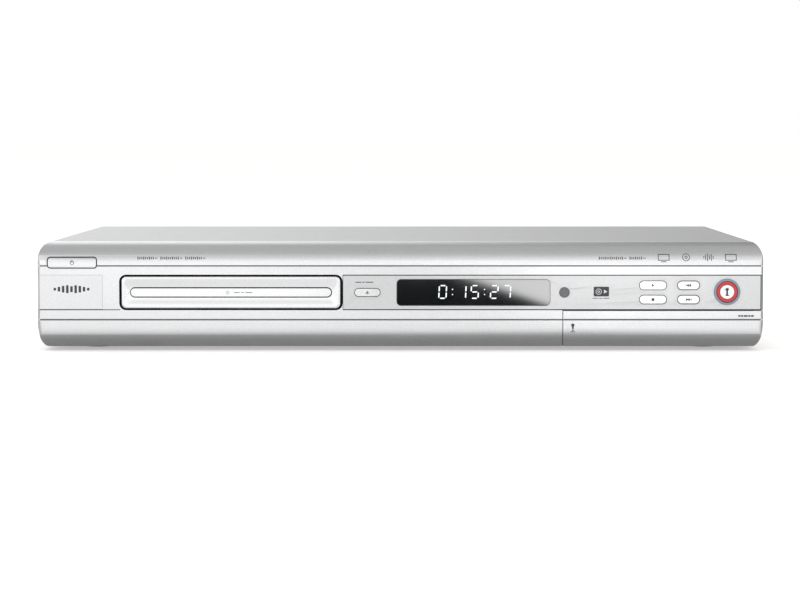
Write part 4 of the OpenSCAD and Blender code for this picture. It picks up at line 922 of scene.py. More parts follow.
def skin(mesh: bmesh.types.BMesh, rings: Sequence[Sequence[Vector]], caps: bool = True) -> None:
    """Extrudes a closed ring of points from each place to the next.

    Args:
        mesh: where the faces go.
        rings: closed rings, all with the same number of points.
        caps: whether the first and last rings are closed with a face.
    """
    verts = [mesh.verts.new(point) for point in rings[0]]
    first = edges = [mesh.edges.new(pair) for pair in zip(verts, verts[1:] + verts[:1])]
    for ring in rings[1:]:
        made = bmesh.ops.extrude_edge_only(mesh, edges=edges)["geom"]
        fresh = {part for part in made if isinstance(part, bmesh.types.BMVert)}
        edges = [part for part in made
                 if isinstance(part, bmesh.types.BMEdge) and fresh.issuperset(part.verts)]
        moved = []
        for vert, point in zip(verts, ring):
            twin = next(edge.other_vert(vert) for edge in vert.link_edges if edge.other_vert(vert) in fresh)
            twin.co = point
            moved.append(twin)
        verts = moved
    if caps:
        for loop in (first, edges):
            bmesh.ops.edgeloop_fill(mesh, edges=loop)
    bmesh.ops.recalc_face_normals(mesh, faces=mesh.faces)


def pour(part: bmesh.types.BMesh, mesh: bmesh.types.BMesh) -> None:
    """Moves everything in one bmesh into another.

    Args:
        part: what is moved; it is freed.
        mesh: where it goes.
    """
    data = bpy.data.meshes.new("part")
    part.to_mesh(data)
    part.free()
    mesh.from_mesh(data)
    bpy.data.meshes.remove(data)


def flat_shape(mesh: bmesh.types.BMesh, points: Sequence[Vector], thickness: Vector) -> None:
    """Adds a thin plate with the outline given, as thick as the vector is long.

    Args:
        mesh: where the faces go.
        points: the outline.
        thickness: from one face of the plate to the other.
    """
    part = bmesh.new()
    skin(part, [points, [point + thickness for point in points]])
    pour(part, mesh)


def band_round(
    mesh: bmesh.types.BMesh, inner: Sequence[Vector], outer: Sequence[Vector], thickness: Vector
) -> None:
    """Adds a flat band between two outlines with the same number of points.

    Args:
        mesh: where the faces go.
        inner: the inner outline.
        outer: the outer outline.
        thickness: from one face of the band to the other.
    """
    part = bmesh.new()
    lifted = [[point + thickness for point in ring] for ring in (outer, inner)]
    rings = [inner, outer, *lifted, inner]
    skin(part, rings, caps=False)
    bmesh.ops.remove_doubles(part, verts=part.verts, dist=1e-8)
    bmesh.ops.recalc_face_normals(part, faces=part.faces)
    pour(part, mesh)


def turned(mesh: bmesh.types.BMesh, profile: Sequence[tuple[float, float]], centre: Vector, along: Vector,
           steps: int = 40, closed: bool = False) -> None:
    """Spins a profile round an axis.

    Args:
        mesh: where the faces go.
        profile: pairs of radius and distance along the axis.
        centre: the axis's start.
        along: the axis's direction.
        steps: how many faces go round.
        closed: whether the profile closes on itself; an open one starts and ends on the axis.
    """
    turn = Vector((0, 0, 1)).rotation_difference(along.normalized()).to_matrix()
    part = bmesh.new()
    verts = [part.verts.new(centre + turn @ Vector((radius, 0.0, height))) for radius, height in profile]
    pairs = list(zip(verts, verts[1:] + verts[:1]))
    edges = [part.edges.new(pair) for pair in (pairs if closed else pairs[:-1])]
    bmesh.ops.spin(
        part, geom=verts + edges, cent=centre, axis=along, angle=2 * math.pi, steps=steps, use_merge=True
    )
    bmesh.ops.remove_doubles(part, verts=part.verts, dist=1e-7)
    bmesh.ops.recalc_face_normals(part, faces=part.faces)
    pour(part, mesh)


def block(mesh: bmesh.types.BMesh, low: Sequence[float], high: Sequence[float], bevel: float = 0.0) -> None:
    """Adds a box between two corners, with its edges bevelled.

    Args:
        mesh: where the faces go.
        low: the low corner.
        high: the high corner.
        bevel: the width of the bevel; none at 0.
    """
    part = bmesh.new()
    bmesh.ops.create_cube(part, size=1.0)
    size = [high[k] - low[k] for k in range(3)]
    middle = [(high[k] + low[k]) / 2 for k in range(3)]
    bmesh.ops.scale(part, vec=size, verts=part.verts)
    bmesh.ops.translate(part, vec=middle, verts=part.verts)
    if bevel:
        bmesh.ops.bevel(
            part, geom=part.edges, offset=bevel, segments=2, profile=0.5, affect="EDGES", material=-1
        )
    pour(part, mesh)


def piece(name: str, mesh: bmesh.types.BMesh, body: str, finish: Finish,
          crease: float = 32.0) -> bpy.types.Object:
    """Turns a bmesh into a piece of the object.

    Args:
        name: the piece's name.
        mesh: its shape, in the row frame.
        body: the body it rides on.
        finish: its finish.
        crease: edges sharper than this many degrees stay sharp.

    Returns:
        The new object.
    """
    data = bpy.data.meshes.new(name)
    mesh.to_mesh(data)
    mesh.free()
    data.shade_smooth()
    data.set_sharp_from_angle(angle=math.radians(crease))
    made = bpy.data.objects.new(name, data)
    bpy.context.scene.collection.objects.link(made)
    data.materials.append(material_of(finish, name))
    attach(made, body)
    log.info("%s: %d faces", name, len(data.polygons))
    return made


def rounded_copy(node: str, body: str, width: float, segments: int = 2, angle: float = 35.0,
                 sink: float = 0.0) -> bpy.types.Object:
    """Stands a copy with rounded edges in for a node of the frame.

    Args:
        node: the node's name.
        body: the body it rides on.
        width: the width of the rounding, in metres.
        segments: how many faces cross each rounded edge.
        angle: edges sharper than this many degrees are rounded.
        sink: how far the foremost flat face stands back, to leave room for ink.

    Returns:
        The copy.
    """
    mesh = bmesh.new()
    mesh.from_mesh(FRAME["nodes"][node].data)
    bmesh.ops.remove_doubles(mesh, verts=mesh.verts, dist=1e-7)
    bmesh.ops.dissolve_limit(
        mesh, angle_limit=math.radians(0.5), use_dissolve_boundaries=False, verts=mesh.verts, edges=mesh.edges
    )
    bmesh.ops.recalc_face_normals(mesh, faces=mesh.faces)
    if sink:
        front = box_of(node)[0].y
        foremost = [vert for vert in mesh.verts if vert.co.y < front + 0.001 * MM]
        bmesh.ops.translate(mesh, vec=(0.0, sink, 0.0), verts=foremost)
    made = piece(node + "_shell", mesh, body, NODE_FINISHES[node])
    bevel = made.modifiers.new("rounding", "BEVEL")
    bevel.width = width
    bevel.segments = segments
    bevel.limit_method = "ANGLE"
    bevel.angle_limit = math.radians(angle)
    bevel.use_clamp_overlap = True
    bevel.harden_normals = True
    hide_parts(node)
    return made


# ------------------------------------------------------------------ printed marks


class Mark(Enum):
    """The plain symbols printed on the front."""

    PLAY = "play"
    STOP = "stop"
    BACK = "back"
    NEXT = "next"
    EJECT = "eject"
    DISC = "disc"
    WAVE = "wave"
    SCREEN = "screen"
    PLUG = "plug"


@dataclass
class Printer:
    """Draws marks as thin plates that stand a hair proud of the face they are printed on."""

    body: str
    slot: str
    ink: Finish = DARK_INK
    thick: float = 0.00003
    mesh: bmesh.types.BMesh = field(default_factory=bmesh.new)
    face: Callable[[float], float] | None = None
    slice: float = 0.6 * MM

    def laid(self, points: Iterable[tuple[float, float]], at: Sequence[float], depth: float) -> list[Vector]:
        """Returns the points on the printed face, which may curve with height.

        Args:
            points: the flat outline.
            at: a place that gives X and Z.
            depth: the face's depth, or how far behind a curved face.

        Returns:
            The points in the row frame.
        """
        laid = facing_front(points, at, depth)
        if self.face:
            for point in laid:
                point.y = self.face(point.z) + depth
        return laid

    def shape(self, points: Sequence[tuple[float, float]], at: Sequence[float], depth: float) -> None:
        """Prints a filled outline round a place that gives X and Z, on a face at that depth."""
        flat_shape(self.mesh, self.laid(points, at, depth), Vector((0, -self.thick, 0)))

    def bar(
        self, at: Sequence[float], depth: float, width: float, height: float, round_by: float = 0.0
    ) -> None:
        """Prints a bar, in low slices where the face curves, or with rounded ends where it is flat.

        Args:
            at: the bar's middle, as X and Z.
            depth: the face's depth.
            width: its width.
            height: its height.
            round_by: the radius of its corners on a flat face.
        """
        slices = math.ceil(height / self.slice) if self.face else 1
        tall = height / slices
        for step in range(slices):
            z = at[-1] + tall * (step + 0.5) - height / 2
            radius = 0.0 if self.face else max(round_by, 0.02 * MM)
            self.shape(outline(width, tall, radius, 3), (at[0], z), depth)

    def ring(self, at: Sequence[float], depth: float, radius: float, line: float, steps: int = 28) -> None:
        """Prints a thin ring.

        Args:
            at: its centre, as X and Z.
            depth: the face's depth.
            radius: its outer radius.
            line: how wide the line is.
            steps: how many straight parts go round.
        """
        angles = [2 * math.pi * k / steps for k in range(steps)]
        outer = [(radius * math.cos(a), radius * math.sin(a)) for a in angles]
        inner = [((radius - line) * math.cos(a), (radius - line) * math.sin(a)) for a in angles]
        both = [self.laid(circle, at, depth) for circle in (inner, outer)]
        band_round(self.mesh, *both, Vector((0, -self.thick, 0)))

    def mark(self, mark: Mark, at: Sequence[float], depth: float, size: float) -> None:
        """Prints one of the symbols, about as high as size.

        Args:
            mark: which symbol.
            at: its middle, as X and Z.
            depth: the face's depth.
            size: its height.
        """
        half = size / 2
        x, z = at[0], at[-1]
        right = [(half, 0.0), (-half * 0.7, half), (-half * 0.7, -half)]
        left = [(-px, pz) for px, pz in reversed(right)]
        if mark is Mark.PLAY:
            self.shape(right, at, depth)
        elif mark is Mark.STOP:
            self.bar(at, depth, size * 0.9, size * 0.9)
        elif mark is Mark.NEXT:
            self.shape(right, (x - half * 0.9, z), depth)
            self.shape(right, (x + half * 0.6, z), depth)
            self.bar((x + half * 1.75, z), depth, size * 0.14, size)
        elif mark is Mark.BACK:
            self.shape(left, (x + half * 0.9, z), depth)
            self.shape(left, (x - half * 0.6, z), depth)
            self.bar((x - half * 1.75, z), depth, size * 0.14, size)
        elif mark is Mark.EJECT:
            self.shape([(0.0, half), (-half, -half * 0.25), (half, -half * 0.25)], at, depth)
            self.bar((x, z - half * 0.75), depth, size, size * 0.2)
        elif mark is Mark.DISC:
            self.ring(at, depth, half, size * 0.09)
            self.ring(at, depth, size * 0.2, size * 0.09)
        elif mark is Mark.WAVE:
            for step, high in enumerate((0.3, 0.7, 1.0, 0.55, 0.85, 0.4)):
                self.bar((x + (step - 2.5) * size * 0.24, z), depth, size * 0.1, size * high)
        elif mark is Mark.SCREEN:
            for side in (-1, 1):
                self.bar((x, z + side * half * 0.75), depth, size * 1.5, size * 0.1)
                self.bar((x + side * size * 0.7, z), depth, size * 0.1, size * 0.75)
            self.bar((x, z - half * 1.15), depth, size * 0.7, size * 0.1)
        elif mark is Mark.PLUG:
            self.shape(outline(size * 0.42, size * 0.42, size * 0.21, 5), (x, z + half * 0.75), depth)
            self.bar((x, z - half * 0.2), depth, size * 0.22, size * 0.75)
            self.bar((x, z - half * 0.9), depth, size * 0.6, size * 0.14)

    def lines(
        self, at: Sequence[float], depth: float, lengths: Sequence[float], height: float, gap: float
    ) -> None:
        """Prints a row of short strokes that starts at a place, in the manner of a plain scale.

        Args:
            at: where the row starts, as X and Z.
            depth: the face's depth.
            lengths: the length of each stroke.
            height: how high the strokes are.
            gap: the space between two strokes.
        """
        x = at[0]
        for length in lengths:
            self.bar((x + length / 2, at[-1]), depth, length, height)
            x += length + gap

    def finish(self, name: str) -> bpy.types.Object:
        """Makes the piece that carries every mark drawn so far."""
        return piece(name, self.mesh, self.body, self.ink, crease=20.0)


# ------------------------------------------------------------------ front


@dataclass
class Segments:
    """Characters made of seven lit bars."""

    height: float = 7.6 * MM
    width: float = 4.3 * MM
    line: float = 0.75 * MM
    lean: float = 0.05

    SHAPES = {
        "0": "abcdef", "1": "bc", "2": "abged", "3": "abgcd", "4": "fgbc", "5": "afgcd",
        "6": "afgedc", "7": "abc", "8": "abcdefg", "9": "abcdfg",
    }

    def draw(self, printer: Printer, sign: str, at: Sequence[float], depth: float) -> None:
        """Draws one character round a place that gives X and Z.

        Args:
            printer: what draws the bars.
            sign: a digit or a colon.
            at: the character's middle, as X and Z.
            depth: the face's depth.
        """
        w, h, t = self.width / 2, self.height / 2, self.line / 2
        if sign == ":":
            for side in (-1, 1):
                printer.bar((at[0], at[-1] + side * h * 0.4), depth, self.line, self.line, t)
            return
        ends = {
            "a": ((-w, h), (w, h)), "b": ((w, h), (w, 0)), "c": ((w, 0), (w, -h)),
            "d": ((-w, -h), (w, -h)), "e": ((-w, 0), (-w, -h)), "f": ((-w, h), (-w, 0)),
            "g": ((-w, 0), (w, 0)),
        }
        for name in self.SHAPES[sign]:
            (x0, z0), (x1, z1) = ends[name]
            level = z0 == z1
            if level:
                points = [(x0 + 1.5 * t, z0), (x0 + 2.5 * t, z0 - t), (x1 - 2.5 * t, z0 - t),
                          (x1 - 1.5 * t, z0), (x1 - 2.5 * t, z0 + t), (x0 + 2.5 * t, z0 + t)]
            else:
                low, high = min(z0, z1), max(z0, z1)
                points = [(x0, low + 0.7 * t), (x0 + t, low + 1.7 * t), (x0 + t, high - 1.7 * t),
                          (x0, high - 0.7 * t), (x0 - t, high - 1.7 * t), (x0 - t, low + 1.7 * t)]
            printer.shape([(px + pz * self.lean, pz) for px, pz in points], at, depth)


@dataclass
class Display:
    """The dark window and the counter that shows through it."""

    counter: str = "0:15:27"
    first: float = 0.30
    pitch: float = 7.5 * MM

    def build(self) -> None:
        """Rounds the window's edge and lights the counter."""
        rounded_copy("display_window", "case", 0.25 * MM)
        low, high = box_of("display_window")
        lit = Printer("case", "display_window", LitSegment())
        x = low.x + (high.x - low.x) * self.first
        z = (low.z + high.z) / 2 + 0.3 * MM
        for sign in self.counter:
            narrow = sign == ":"
            x -= self.pitch * 0.22 if narrow else 0.0
            Segments().draw(lit, sign, (x, z), low.y)
            x += self.pitch * (0.78 if narrow else 1.0)
        lit.finish("counter")
        rounded_copy("ir_lens", "case", 0.4 * MM, 3)


@dataclass
class Keys:
    """The keys of the control panel with their printed symbols."""

    rounding: float = 0.55 * MM
    symbol: float = 1.9 * MM

    MARKS = (
        ("open_close", Mark.EJECT), ("play", Mark.PLAY), ("stop", Mark.STOP), ("back", Mark.BACK),
        ("next", Mark.NEXT),
    )

    def build(self) -> None:
        """Rounds every key and prints its symbol."""
        for name, mark in self.MARKS:
            rounded_copy(name + "_button", name + "_key", self.rounding, 4)
            low, _high = box_of(name + "_button")
            printer = Printer(name + "_key", name + "_button")
            printer.mark(mark, centre_of(name + "_button"), low.y + HAIR, self.symbol)
            printer.finish(name + "_mark")


@dataclass
class RecordKey:
    """The round record key: a collar, a red ring and a bright cap."""

    def build(self) -> None:
        """Rounds the three parts and prints a plain symbol on the cap."""
        rounded_copy("record_collar", "case", 0.5 * MM, 3)
        rounded_copy("record_ring", "record_key", 0.45 * MM, 3)
        rounded_copy("record_button", "record_key", 0.4 * MM, 3)
        low, _high = box_of("record_button")
        printer = Printer("record_key", "record_button")
        printer.mark(Mark.PLUG, centre_of("record_button"), low.y + 0.00004, 4.6 * MM)
        printer.finish("record_mark")


@dataclass
class TrayDoor:
    """The door of the disc tray, softly hollowed towards the bar along its middle."""

    corner: float = 2.8 * MM
    edge: float = 0.7 * MM
    rim: float = 1.2 * MM
    hollow: float = 1.0 * MM
    groove: float = 0.6 * MM
    groove_deep: float = 1.0 * MM
    slack: float = 0.04 * MM

    def build(self) -> None:
        """Builds the hollowed door and rounds the bar."""
        low, high = box_of("tray_door")
        bar_low, bar_high = box_of("tray_door_bar")
        middle = (low + high) / 2
        size = high - low
        bar = bar_high - bar_low
        inner = outline(bar.x + 2 * self.groove, bar.z + 2 * self.groove, bar.z, 12)
        rings = [facing_front(outline(size.x, size.z, self.corner, 12), middle, high.y)]
        for step in range(5):
            angle = math.pi / 2 * step / 4
            inset = self.edge * (1 - math.cos(angle))
            rings.append(facing_front(
                outline(size.x - 2 * inset, size.z - 2 * inset, self.corner - inset * 0.5, 12),
                middle, low.y + self.edge * (1 - math.sin(angle)),
            ))
        outer = outline(size.x - 2 * self.rim, size.z - 2 * self.rim, self.corner - self.rim * 0.5, 12)
        for step in range(13):
            share = step / 12
            points = [(a + (c - a) * share, b + (d - b) * share) for (a, b), (c, d) in zip(outer, inner)]
            fall = self.hollow * share * share * (3 - 2 * share)
            rings.append(facing_front(points, middle, low.y + fall))
        rings.append(facing_front(inner, middle, low.y + self.hollow + self.groove_deep))
        mesh = bmesh.new()
        skin(mesh, rings)
        door = piece("tray_door_shell", mesh, "tray", NODE_FINISHES["tray_door"], crease=50.0)
        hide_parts("tray_door")
        rounded_copy("tray_door_bar", "tray", 0.5 * MM, 4)
        # painted shade: a dark band laid in the groove round the bar
        shade = bmesh.new()
        wide = 2 * (self.groove - self.slack)
        depth = low.y + self.hollow + 0.35 * MM
        both = [facing_front(outline(bar.x + grow, bar.z + grow, bar.z, 12), middle, depth)
                for grow in (self.slack, wide)]
        band_round(shade, *both, Vector((0, 0.1 * MM, 0)))
        piece("bar_groove_painted_shade", shade, "tray", PAINTED_GAP_SHADE)
        printer = Printer("tray", "tray_door_bar", GREY_INK)
        depth = bar_low.y + HAIR
        printer.mark(Mark.DISC, (middle.x - 2 * MM, middle.z), depth, 2.2 * MM)
        strokes = (3.2 * MM, 1.6 * MM, 4.2 * MM)
        printer.lines((middle.x + 2 * MM, middle.z), depth, strokes, 0.5 * MM, 0.9 * MM)
        printer.finish("bar_mark")


@dataclass
class FrontMoulding:
    """The long moulded front with its panel, badge plate, standby key and flap."""

    nose: float = 14.0 * MM
    chin: float = 16.0 * MM
    standby_at: tuple[float, float] = (-196.5 * MM, 52.9 * MM)
    chin_from: float = 14.2 * MM
    strip_up: float = 4.6 * MM
    strip_symbol: float = 4.6 * MM
    strip_pitch: float = 13.4 * MM
    tick: tuple[float, float, float] = (0.6 * MM, 1.4 * MM, 1.8 * MM)
    tick_pitch: float = 1.15 * MM
    tick_rule: tuple[float, float] = (1.6 * MM, 0.42 * MM)

    def build(self) -> None:
        """Rounds the mouldings and prints the marks on them."""
        rounded_copy("front_bezel", "case", 0.18 * MM, 2, 40.0)
        rounded_copy("control_panel", "case", 0.22 * MM, 3, 40.0)
        rounded_copy("badge_plate", "case", 0.2 * MM)
        rounded_copy("flap_door", "flap", 0.18 * MM, 2, 40.0, sink=0.04 * MM)
        rounded_copy("standby_button", "standby_key", 0.35 * MM, 3)
        self._strip_marks()
        self._panel_marks()
        self._flap_mark()
        self._badge()

    def _strip_marks(self) -> None:
        """Prints small marks along the strip above the tray and at its right end."""
        _low, high = box_of("front_bezel")
        printer = Printer("case", "front_bezel", DARK_INK, face=self.nose_face)
        tray_low, _tray_high = box_of("tray_door")
        strip_z = high.z - self.nose + self.strip_up
        self._scale(printer, tray_low.x + 10 * MM, strip_z, (9, 10, 9))
        self._scale(printer, high.x - 98.5 * MM, strip_z, (13, 7))
        x = high.x - 60 * MM
        for mark in (Mark.SCREEN, Mark.DISC, Mark.WAVE, Mark.SCREEN):
            printer.mark(mark, (x, strip_z + 0.5 * MM), 0.0, self.strip_symbol)
            x += self.strip_pitch
        printer.finish("strip_marks")

    def _scale(self, printer: Printer, x: float, z: float, groups: Sequence[int]) -> None:
        """Prints groups of upright ticks in a row, each group closed by a short rule.

        Args:
            printer: what draws the ticks.
            x: where the row starts.
            z: its height.
            groups: how many ticks each group has.
        """
        wide, short, tall = self.tick
        for count in groups:
            for step in range(count):
                printer.bar((x, z), 0.0, wide, short if step % 3 else tall)
                x += self.tick_pitch
            printer.bar((x + 0.55 * MM, z), 0.0, *self.tick_rule)
            x += 3.4 * MM

    def nose_face(self, height: float) -> float:
        """Returns the depth of the rounded nose's face at a height.

        Args:
            height: the height over the floor.

        Returns:
            The face's Y, a hair inside.
        """
        low, high = box_of("front_bezel")
        rise = max(0.0, height - (high.z - self.nose))
        return low.y + self.nose - math.sqrt(self.nose ** 2 - rise ** 2) + HAIR

    def chin_face(self, height: float) -> float:
        """Returns the depth of the rounded chin's face at a height.

        Args:
            height: the height over the floor.

        Returns:
            The face's Y, a hair inside.
        """
        low, _high = box_of("front_bezel")
        drop = max(0.0, self.chin_from - height)
        return low.y + self.chin - math.sqrt(self.chin ** 2 - drop ** 2) + HAIR

    def _panel_marks(self) -> None:
        """Prints the small dark label on the control panel and the stroke over the open key."""
        lens_low, lens_high = box_of("ir_lens")
        key_low, key_high = box_of("open_close_button")
        depth = self._panel_face()
        label = Printer("case", "control_panel", DARK_INK)
        at = (lens_high.x + 19 * MM, (lens_low.z + lens_high.z) / 2 + 0.5 * MM)
        label.bar(at, depth, 9.2 * MM, 5.8 * MM, 0.5 * MM)
        label.lines((key_low.x + 1.6 * MM, key_high.z + 2.6 * MM), depth,
                    (3.4 * MM, 1.4 * MM, 4.6 * MM), 0.55 * MM, 0.6 * MM)
        under = (at[0] - 5.2 * MM, at[1] - 4.0 * MM)
        label.lines(under, depth, (3.2 * MM, 2.0 * MM, 3.8 * MM), 0.4 * MM, 0.5 * MM)
        label.finish("panel_label")
        light = Printer("case", "control_panel", PALE_INK)
        light.mark(Mark.DISC, (at[0] - 1.6 * MM, at[1]), depth - 0.00004, 3.6 * MM)
        light.mark(Mark.PLAY, (at[0] + 2.4 * MM, at[1]), depth - 0.00004, 2.4 * MM)
        light.finish("panel_symbol")

    def _panel_face(self) -> float:
        """Returns the depth of the control panel's flat face."""
        window_low, _high = box_of("display_window")
        return window_low.y + 0.1 * MM

    def _flap_mark(self) -> None:
        """Prints a plug symbol at the flap's opening edge."""
        low, high = box_of("flap_door")
        printer = Printer("flap", "flap_door", DARK_INK, face=lambda z: self.chin_face(z) + 0.025 * MM)
        printer.mark(Mark.PLUG, (low.x + 8.2 * MM, low.z + 11.2 * MM), 0.0, 4.8 * MM)
        printer.lines((high.x - 15.0 * MM, high.z - 3.0 * MM), 0.0,
                      (1.1 * MM, 1.1 * MM, 2.2 * MM, 1.1 * MM, 1.6 * MM), 0.9 * MM, 0.5 * MM)
        printer.finish("flap_mark")

    def _badge(self) -> None:
        """Prints a plain row of level bars on the badge plate and a ring and stroke on the standby key."""
        low, high = box_of("badge_plate")
        printer = Printer("case", "badge_plate", DARK_INK)
        middle = (low.x + high.x) / 2 + 1.0 * MM
        for step, level in enumerate((1.6, 2.8, 4.0, 4.8, 3.6, 4.8, 4.0, 2.8, 1.6)):
            at = (middle + (step - 4) * 2.5 * MM, (low.z + high.z) / 2 + 1.8 * MM)
            printer.bar(at, low.y + HAIR, 1.5 * MM, level * MM, 0.3 * MM)
        printer.finish("badge_bars")
        key_low, _high = box_of("standby_button")
        key = Printer("standby_key", "standby_button", DARK_INK)
        at = self.standby_at
        key.ring(at, key_low.y + HAIR, 1.25 * MM, 0.32 * MM)
        key.bar((at[0], at[1] + 0.75 * MM), key_low.y - HAIR, 0.32 * MM, 1.5 * MM)
        key.finish("standby_mark")


@dataclass
class PaintedGapShade:
    """Painted shade: dark liners that fill the bottoms of the front's grooves and gaps, where shade falls."""

    front: FrontMoulding = field(default_factory=FrontMoulding)
    groove: float = 0.76 * MM
    sunk: float = 0.3 * MM
    thick: float = 0.15 * MM
    end: float = 1.6 * MM
    low_line: float = 18.7 * MM
    flap_edge: float = 97.5 * MM
    band: tuple[float, float] = (24.4 * MM, 45.7 * MM)
    panel_gap: float = 0.6 * MM
    key_gap: float = 0.4 * MM
    key_flange: float = 1.2 * MM
    standby: tuple[float, float, float] = (28.8 * MM, 5.8 * MM, 1.5 * MM)
    standby_gap: float = 0.7 * MM
    slack: float = 0.04 * MM

    def build(self) -> None:
        """Lays every painted-shade liner."""
        low, high = box_of("front_bezel")
        flap_high = box_of("flap_door")[1]
        x0, z0 = self.front.standby_at
        half = self.standby[0] / 2 + self.standby_gap
        top = high.z - self.front.nose
        grooves = bmesh.new()
        self._strip(grooves, x0 + half, high.x - self.end, top, low.y)
        self._strip(grooves, low.x + self.end, x0 - half, top, low.y)
        self._strip(grooves, low.x + self.end, self.flap_edge - 0.5 * MM, self.low_line, low.y)
        piece("groove_painted_shade", grooves, "case", GROOVE_SHADE)
        flap = bmesh.new()
        self._strip(flap, self.flap_edge + 0.2 * MM, flap_high.x - self.end, self.low_line, low.y)
        piece("flap_groove_painted_shade", flap, "flap", GROOVE_SHADE)
        self._gaps(low)
        self._key_rings()
        # painted shade in the gap round the standby key
        ring = Printer("case", "front_bezel", PAINTED_GAP_SHADE, face=self.front.nose_face)
        points = [outline(self.standby[0] + 2 * grow, self.standby[1] + 2 * grow, self.standby[2] + grow, 6)
                  for grow in (self.slack, self.standby_gap - self.slack)]
        both = [ring.laid(p, (x0, z0), 0.5 * MM) for p in points]
        band_round(ring.mesh, *both, Vector((0, self.thick, 0)))
        ring.finish("standby_gap_painted_shade")

    def _strip(self, mesh: bmesh.types.BMesh, start: float, stop: float, height: float, face: float) -> None:
        """Lays a level painted-shade liner in a groove."""
        block(mesh, (start, face + self.sunk, height - self.groove / 2),
              (stop, face + self.sunk + self.thick, height + self.groove / 2))

    def _gaps(self, low: Vector) -> None:
        """Lays painted shade in the gaps round the control panel, under the badge plate and beside the flap.

        Args:
            low: the low corner of the front.
        """
        panel_low, panel_high = box_of("control_panel")
        door_low, _door_high = box_of("tray_door")
        mesh = bmesh.new()
        depth = low.y + 1.5 * MM
        low_z, high_z = self.band
        for z in (low_z, high_z - self.panel_gap):
            block(mesh, (panel_low.x, depth, z), (panel_high.x, depth + self.thick, z + self.panel_gap))
        block(mesh, (panel_high.x, depth, low_z), (panel_high.x + self.panel_gap, depth + self.thick, high_z))
        block(mesh, (low.x + self.end, low.y + 0.72 * MM, low_z),
              (door_low.x - 0.8 * MM, low.y + 0.9 * MM, low_z + 0.5 * MM))
        beside = Printer("case", "front_bezel", PAINTED_GAP_SHADE, mesh=mesh, face=self.front.chin_face)
        tall = 1.5 * MM
        for step in range(14):
            z = low.z + 0.8 * MM + tall * (step + 0.5)
            beside.bar((self.flap_edge - 0.23 * MM, z), 0.6 * MM, 0.38 * MM, tall)
        beside.finish("gap_painted_shade")

    def _key_rings(self) -> None:
        """Lays painted shade in the gap round each key."""
        mesh = bmesh.new()
        face = box_of("control_panel")[0].y
        for name, _mark in Keys.MARKS:
            low, high = box_of(name + "_button")
            wide, tall = (high.x - low.x) - 2 * self.key_flange, (high.z - low.z) - 2 * self.key_flange
            points = [outline(wide + 2 * grow, tall + 2 * grow, tall, 10)
                      for grow in (self.slack, self.key_gap - self.slack)]
            middle = centre_of(name + "_button")
            both = [facing_front(p, middle, face + 0.5 * MM) for p in points]
            band_round(mesh, *both, Vector((0, self.thick, 0)))
        piece("key_gap_painted_shade", mesh, "case", PAINTED_GAP_SHADE)


# ------------------------------------------------------------------ sockets, drive and boards


def mount_places(start: str) -> list[Vector]:
    """Returns the places of the record's mounts whose names start so, in order."""
    return [Vector(m["pos_m"]) for m in FRAME["record"]["mounts"] if m["name"].startswith(start)]


@dataclass
class Sockets:
    """The coloured collars of the phono sockets, behind the flap and on the back."""

    inner: float = 4.32 * MM
    outer: float = 5.4 * MM
    thick: float = 0.5 * MM

    COLOURS = {
        "yellow": (0.72, 0.50, 0.02), "white": (0.80, 0.80, 0.78), "red": (0.55, 0.02, 0.02),
        "orange": (0.72, 0.20, 0.01), "green": (0.03, 0.34, 0.08),
    }
    FRONT = ("yellow", "white", "red")
    BACK = ("orange", "yellow", "white", "red", "yellow", "green", "yellow", "white", "red")

    def build(self) -> None:
        """Sets one collar on every phono socket, one piece for each colour and face."""
        plate = box_of("socket_plate")[0].y
        panel = box_of("rear_panel")[1].y
        for side, start, colours, face, way in (
            ("front", "front_phono", self.FRONT, plate, -1), ("rear", "rear_phono", self.BACK, panel, 1)
        ):
            places = mount_places(start)
            for colour in sorted(set(colours)):
                mesh = bmesh.new()
                for place, own in zip(places, colours):
                    if own == colour:
                        self._collar(mesh, Vector((place.x, face, place.z)), way)
                finish = MouldedPlastic(self.COLOURS[colour], roughness=0.32, grain=0.3, dust=0.02)
                piece(f"{side}_collars_{colour}", mesh, "case", finish)

    def _collar(self, mesh: bmesh.types.BMesh, foot: Vector, way: int) -> None:
        """Adds a flat ring with rounded edges round a socket.

        Args:
            mesh: where the faces go.
            foot: where the socket's axis meets the panel.
            way: 1 for a ring that faces back, -1 for one that faces forward.
        """
        steps = 36
        edge = self.thick * 0.35
        profile = (
            (self.inner, 0.00002), (self.outer, 0.00002), (self.outer, self.thick - edge),
            (self.outer - edge, self.thick), (self.inner + edge, self.thick), (self.inner, self.thick - edge),
        )
        turned(mesh, profile, foot, Vector((0, way, 0)), steps, closed=True)


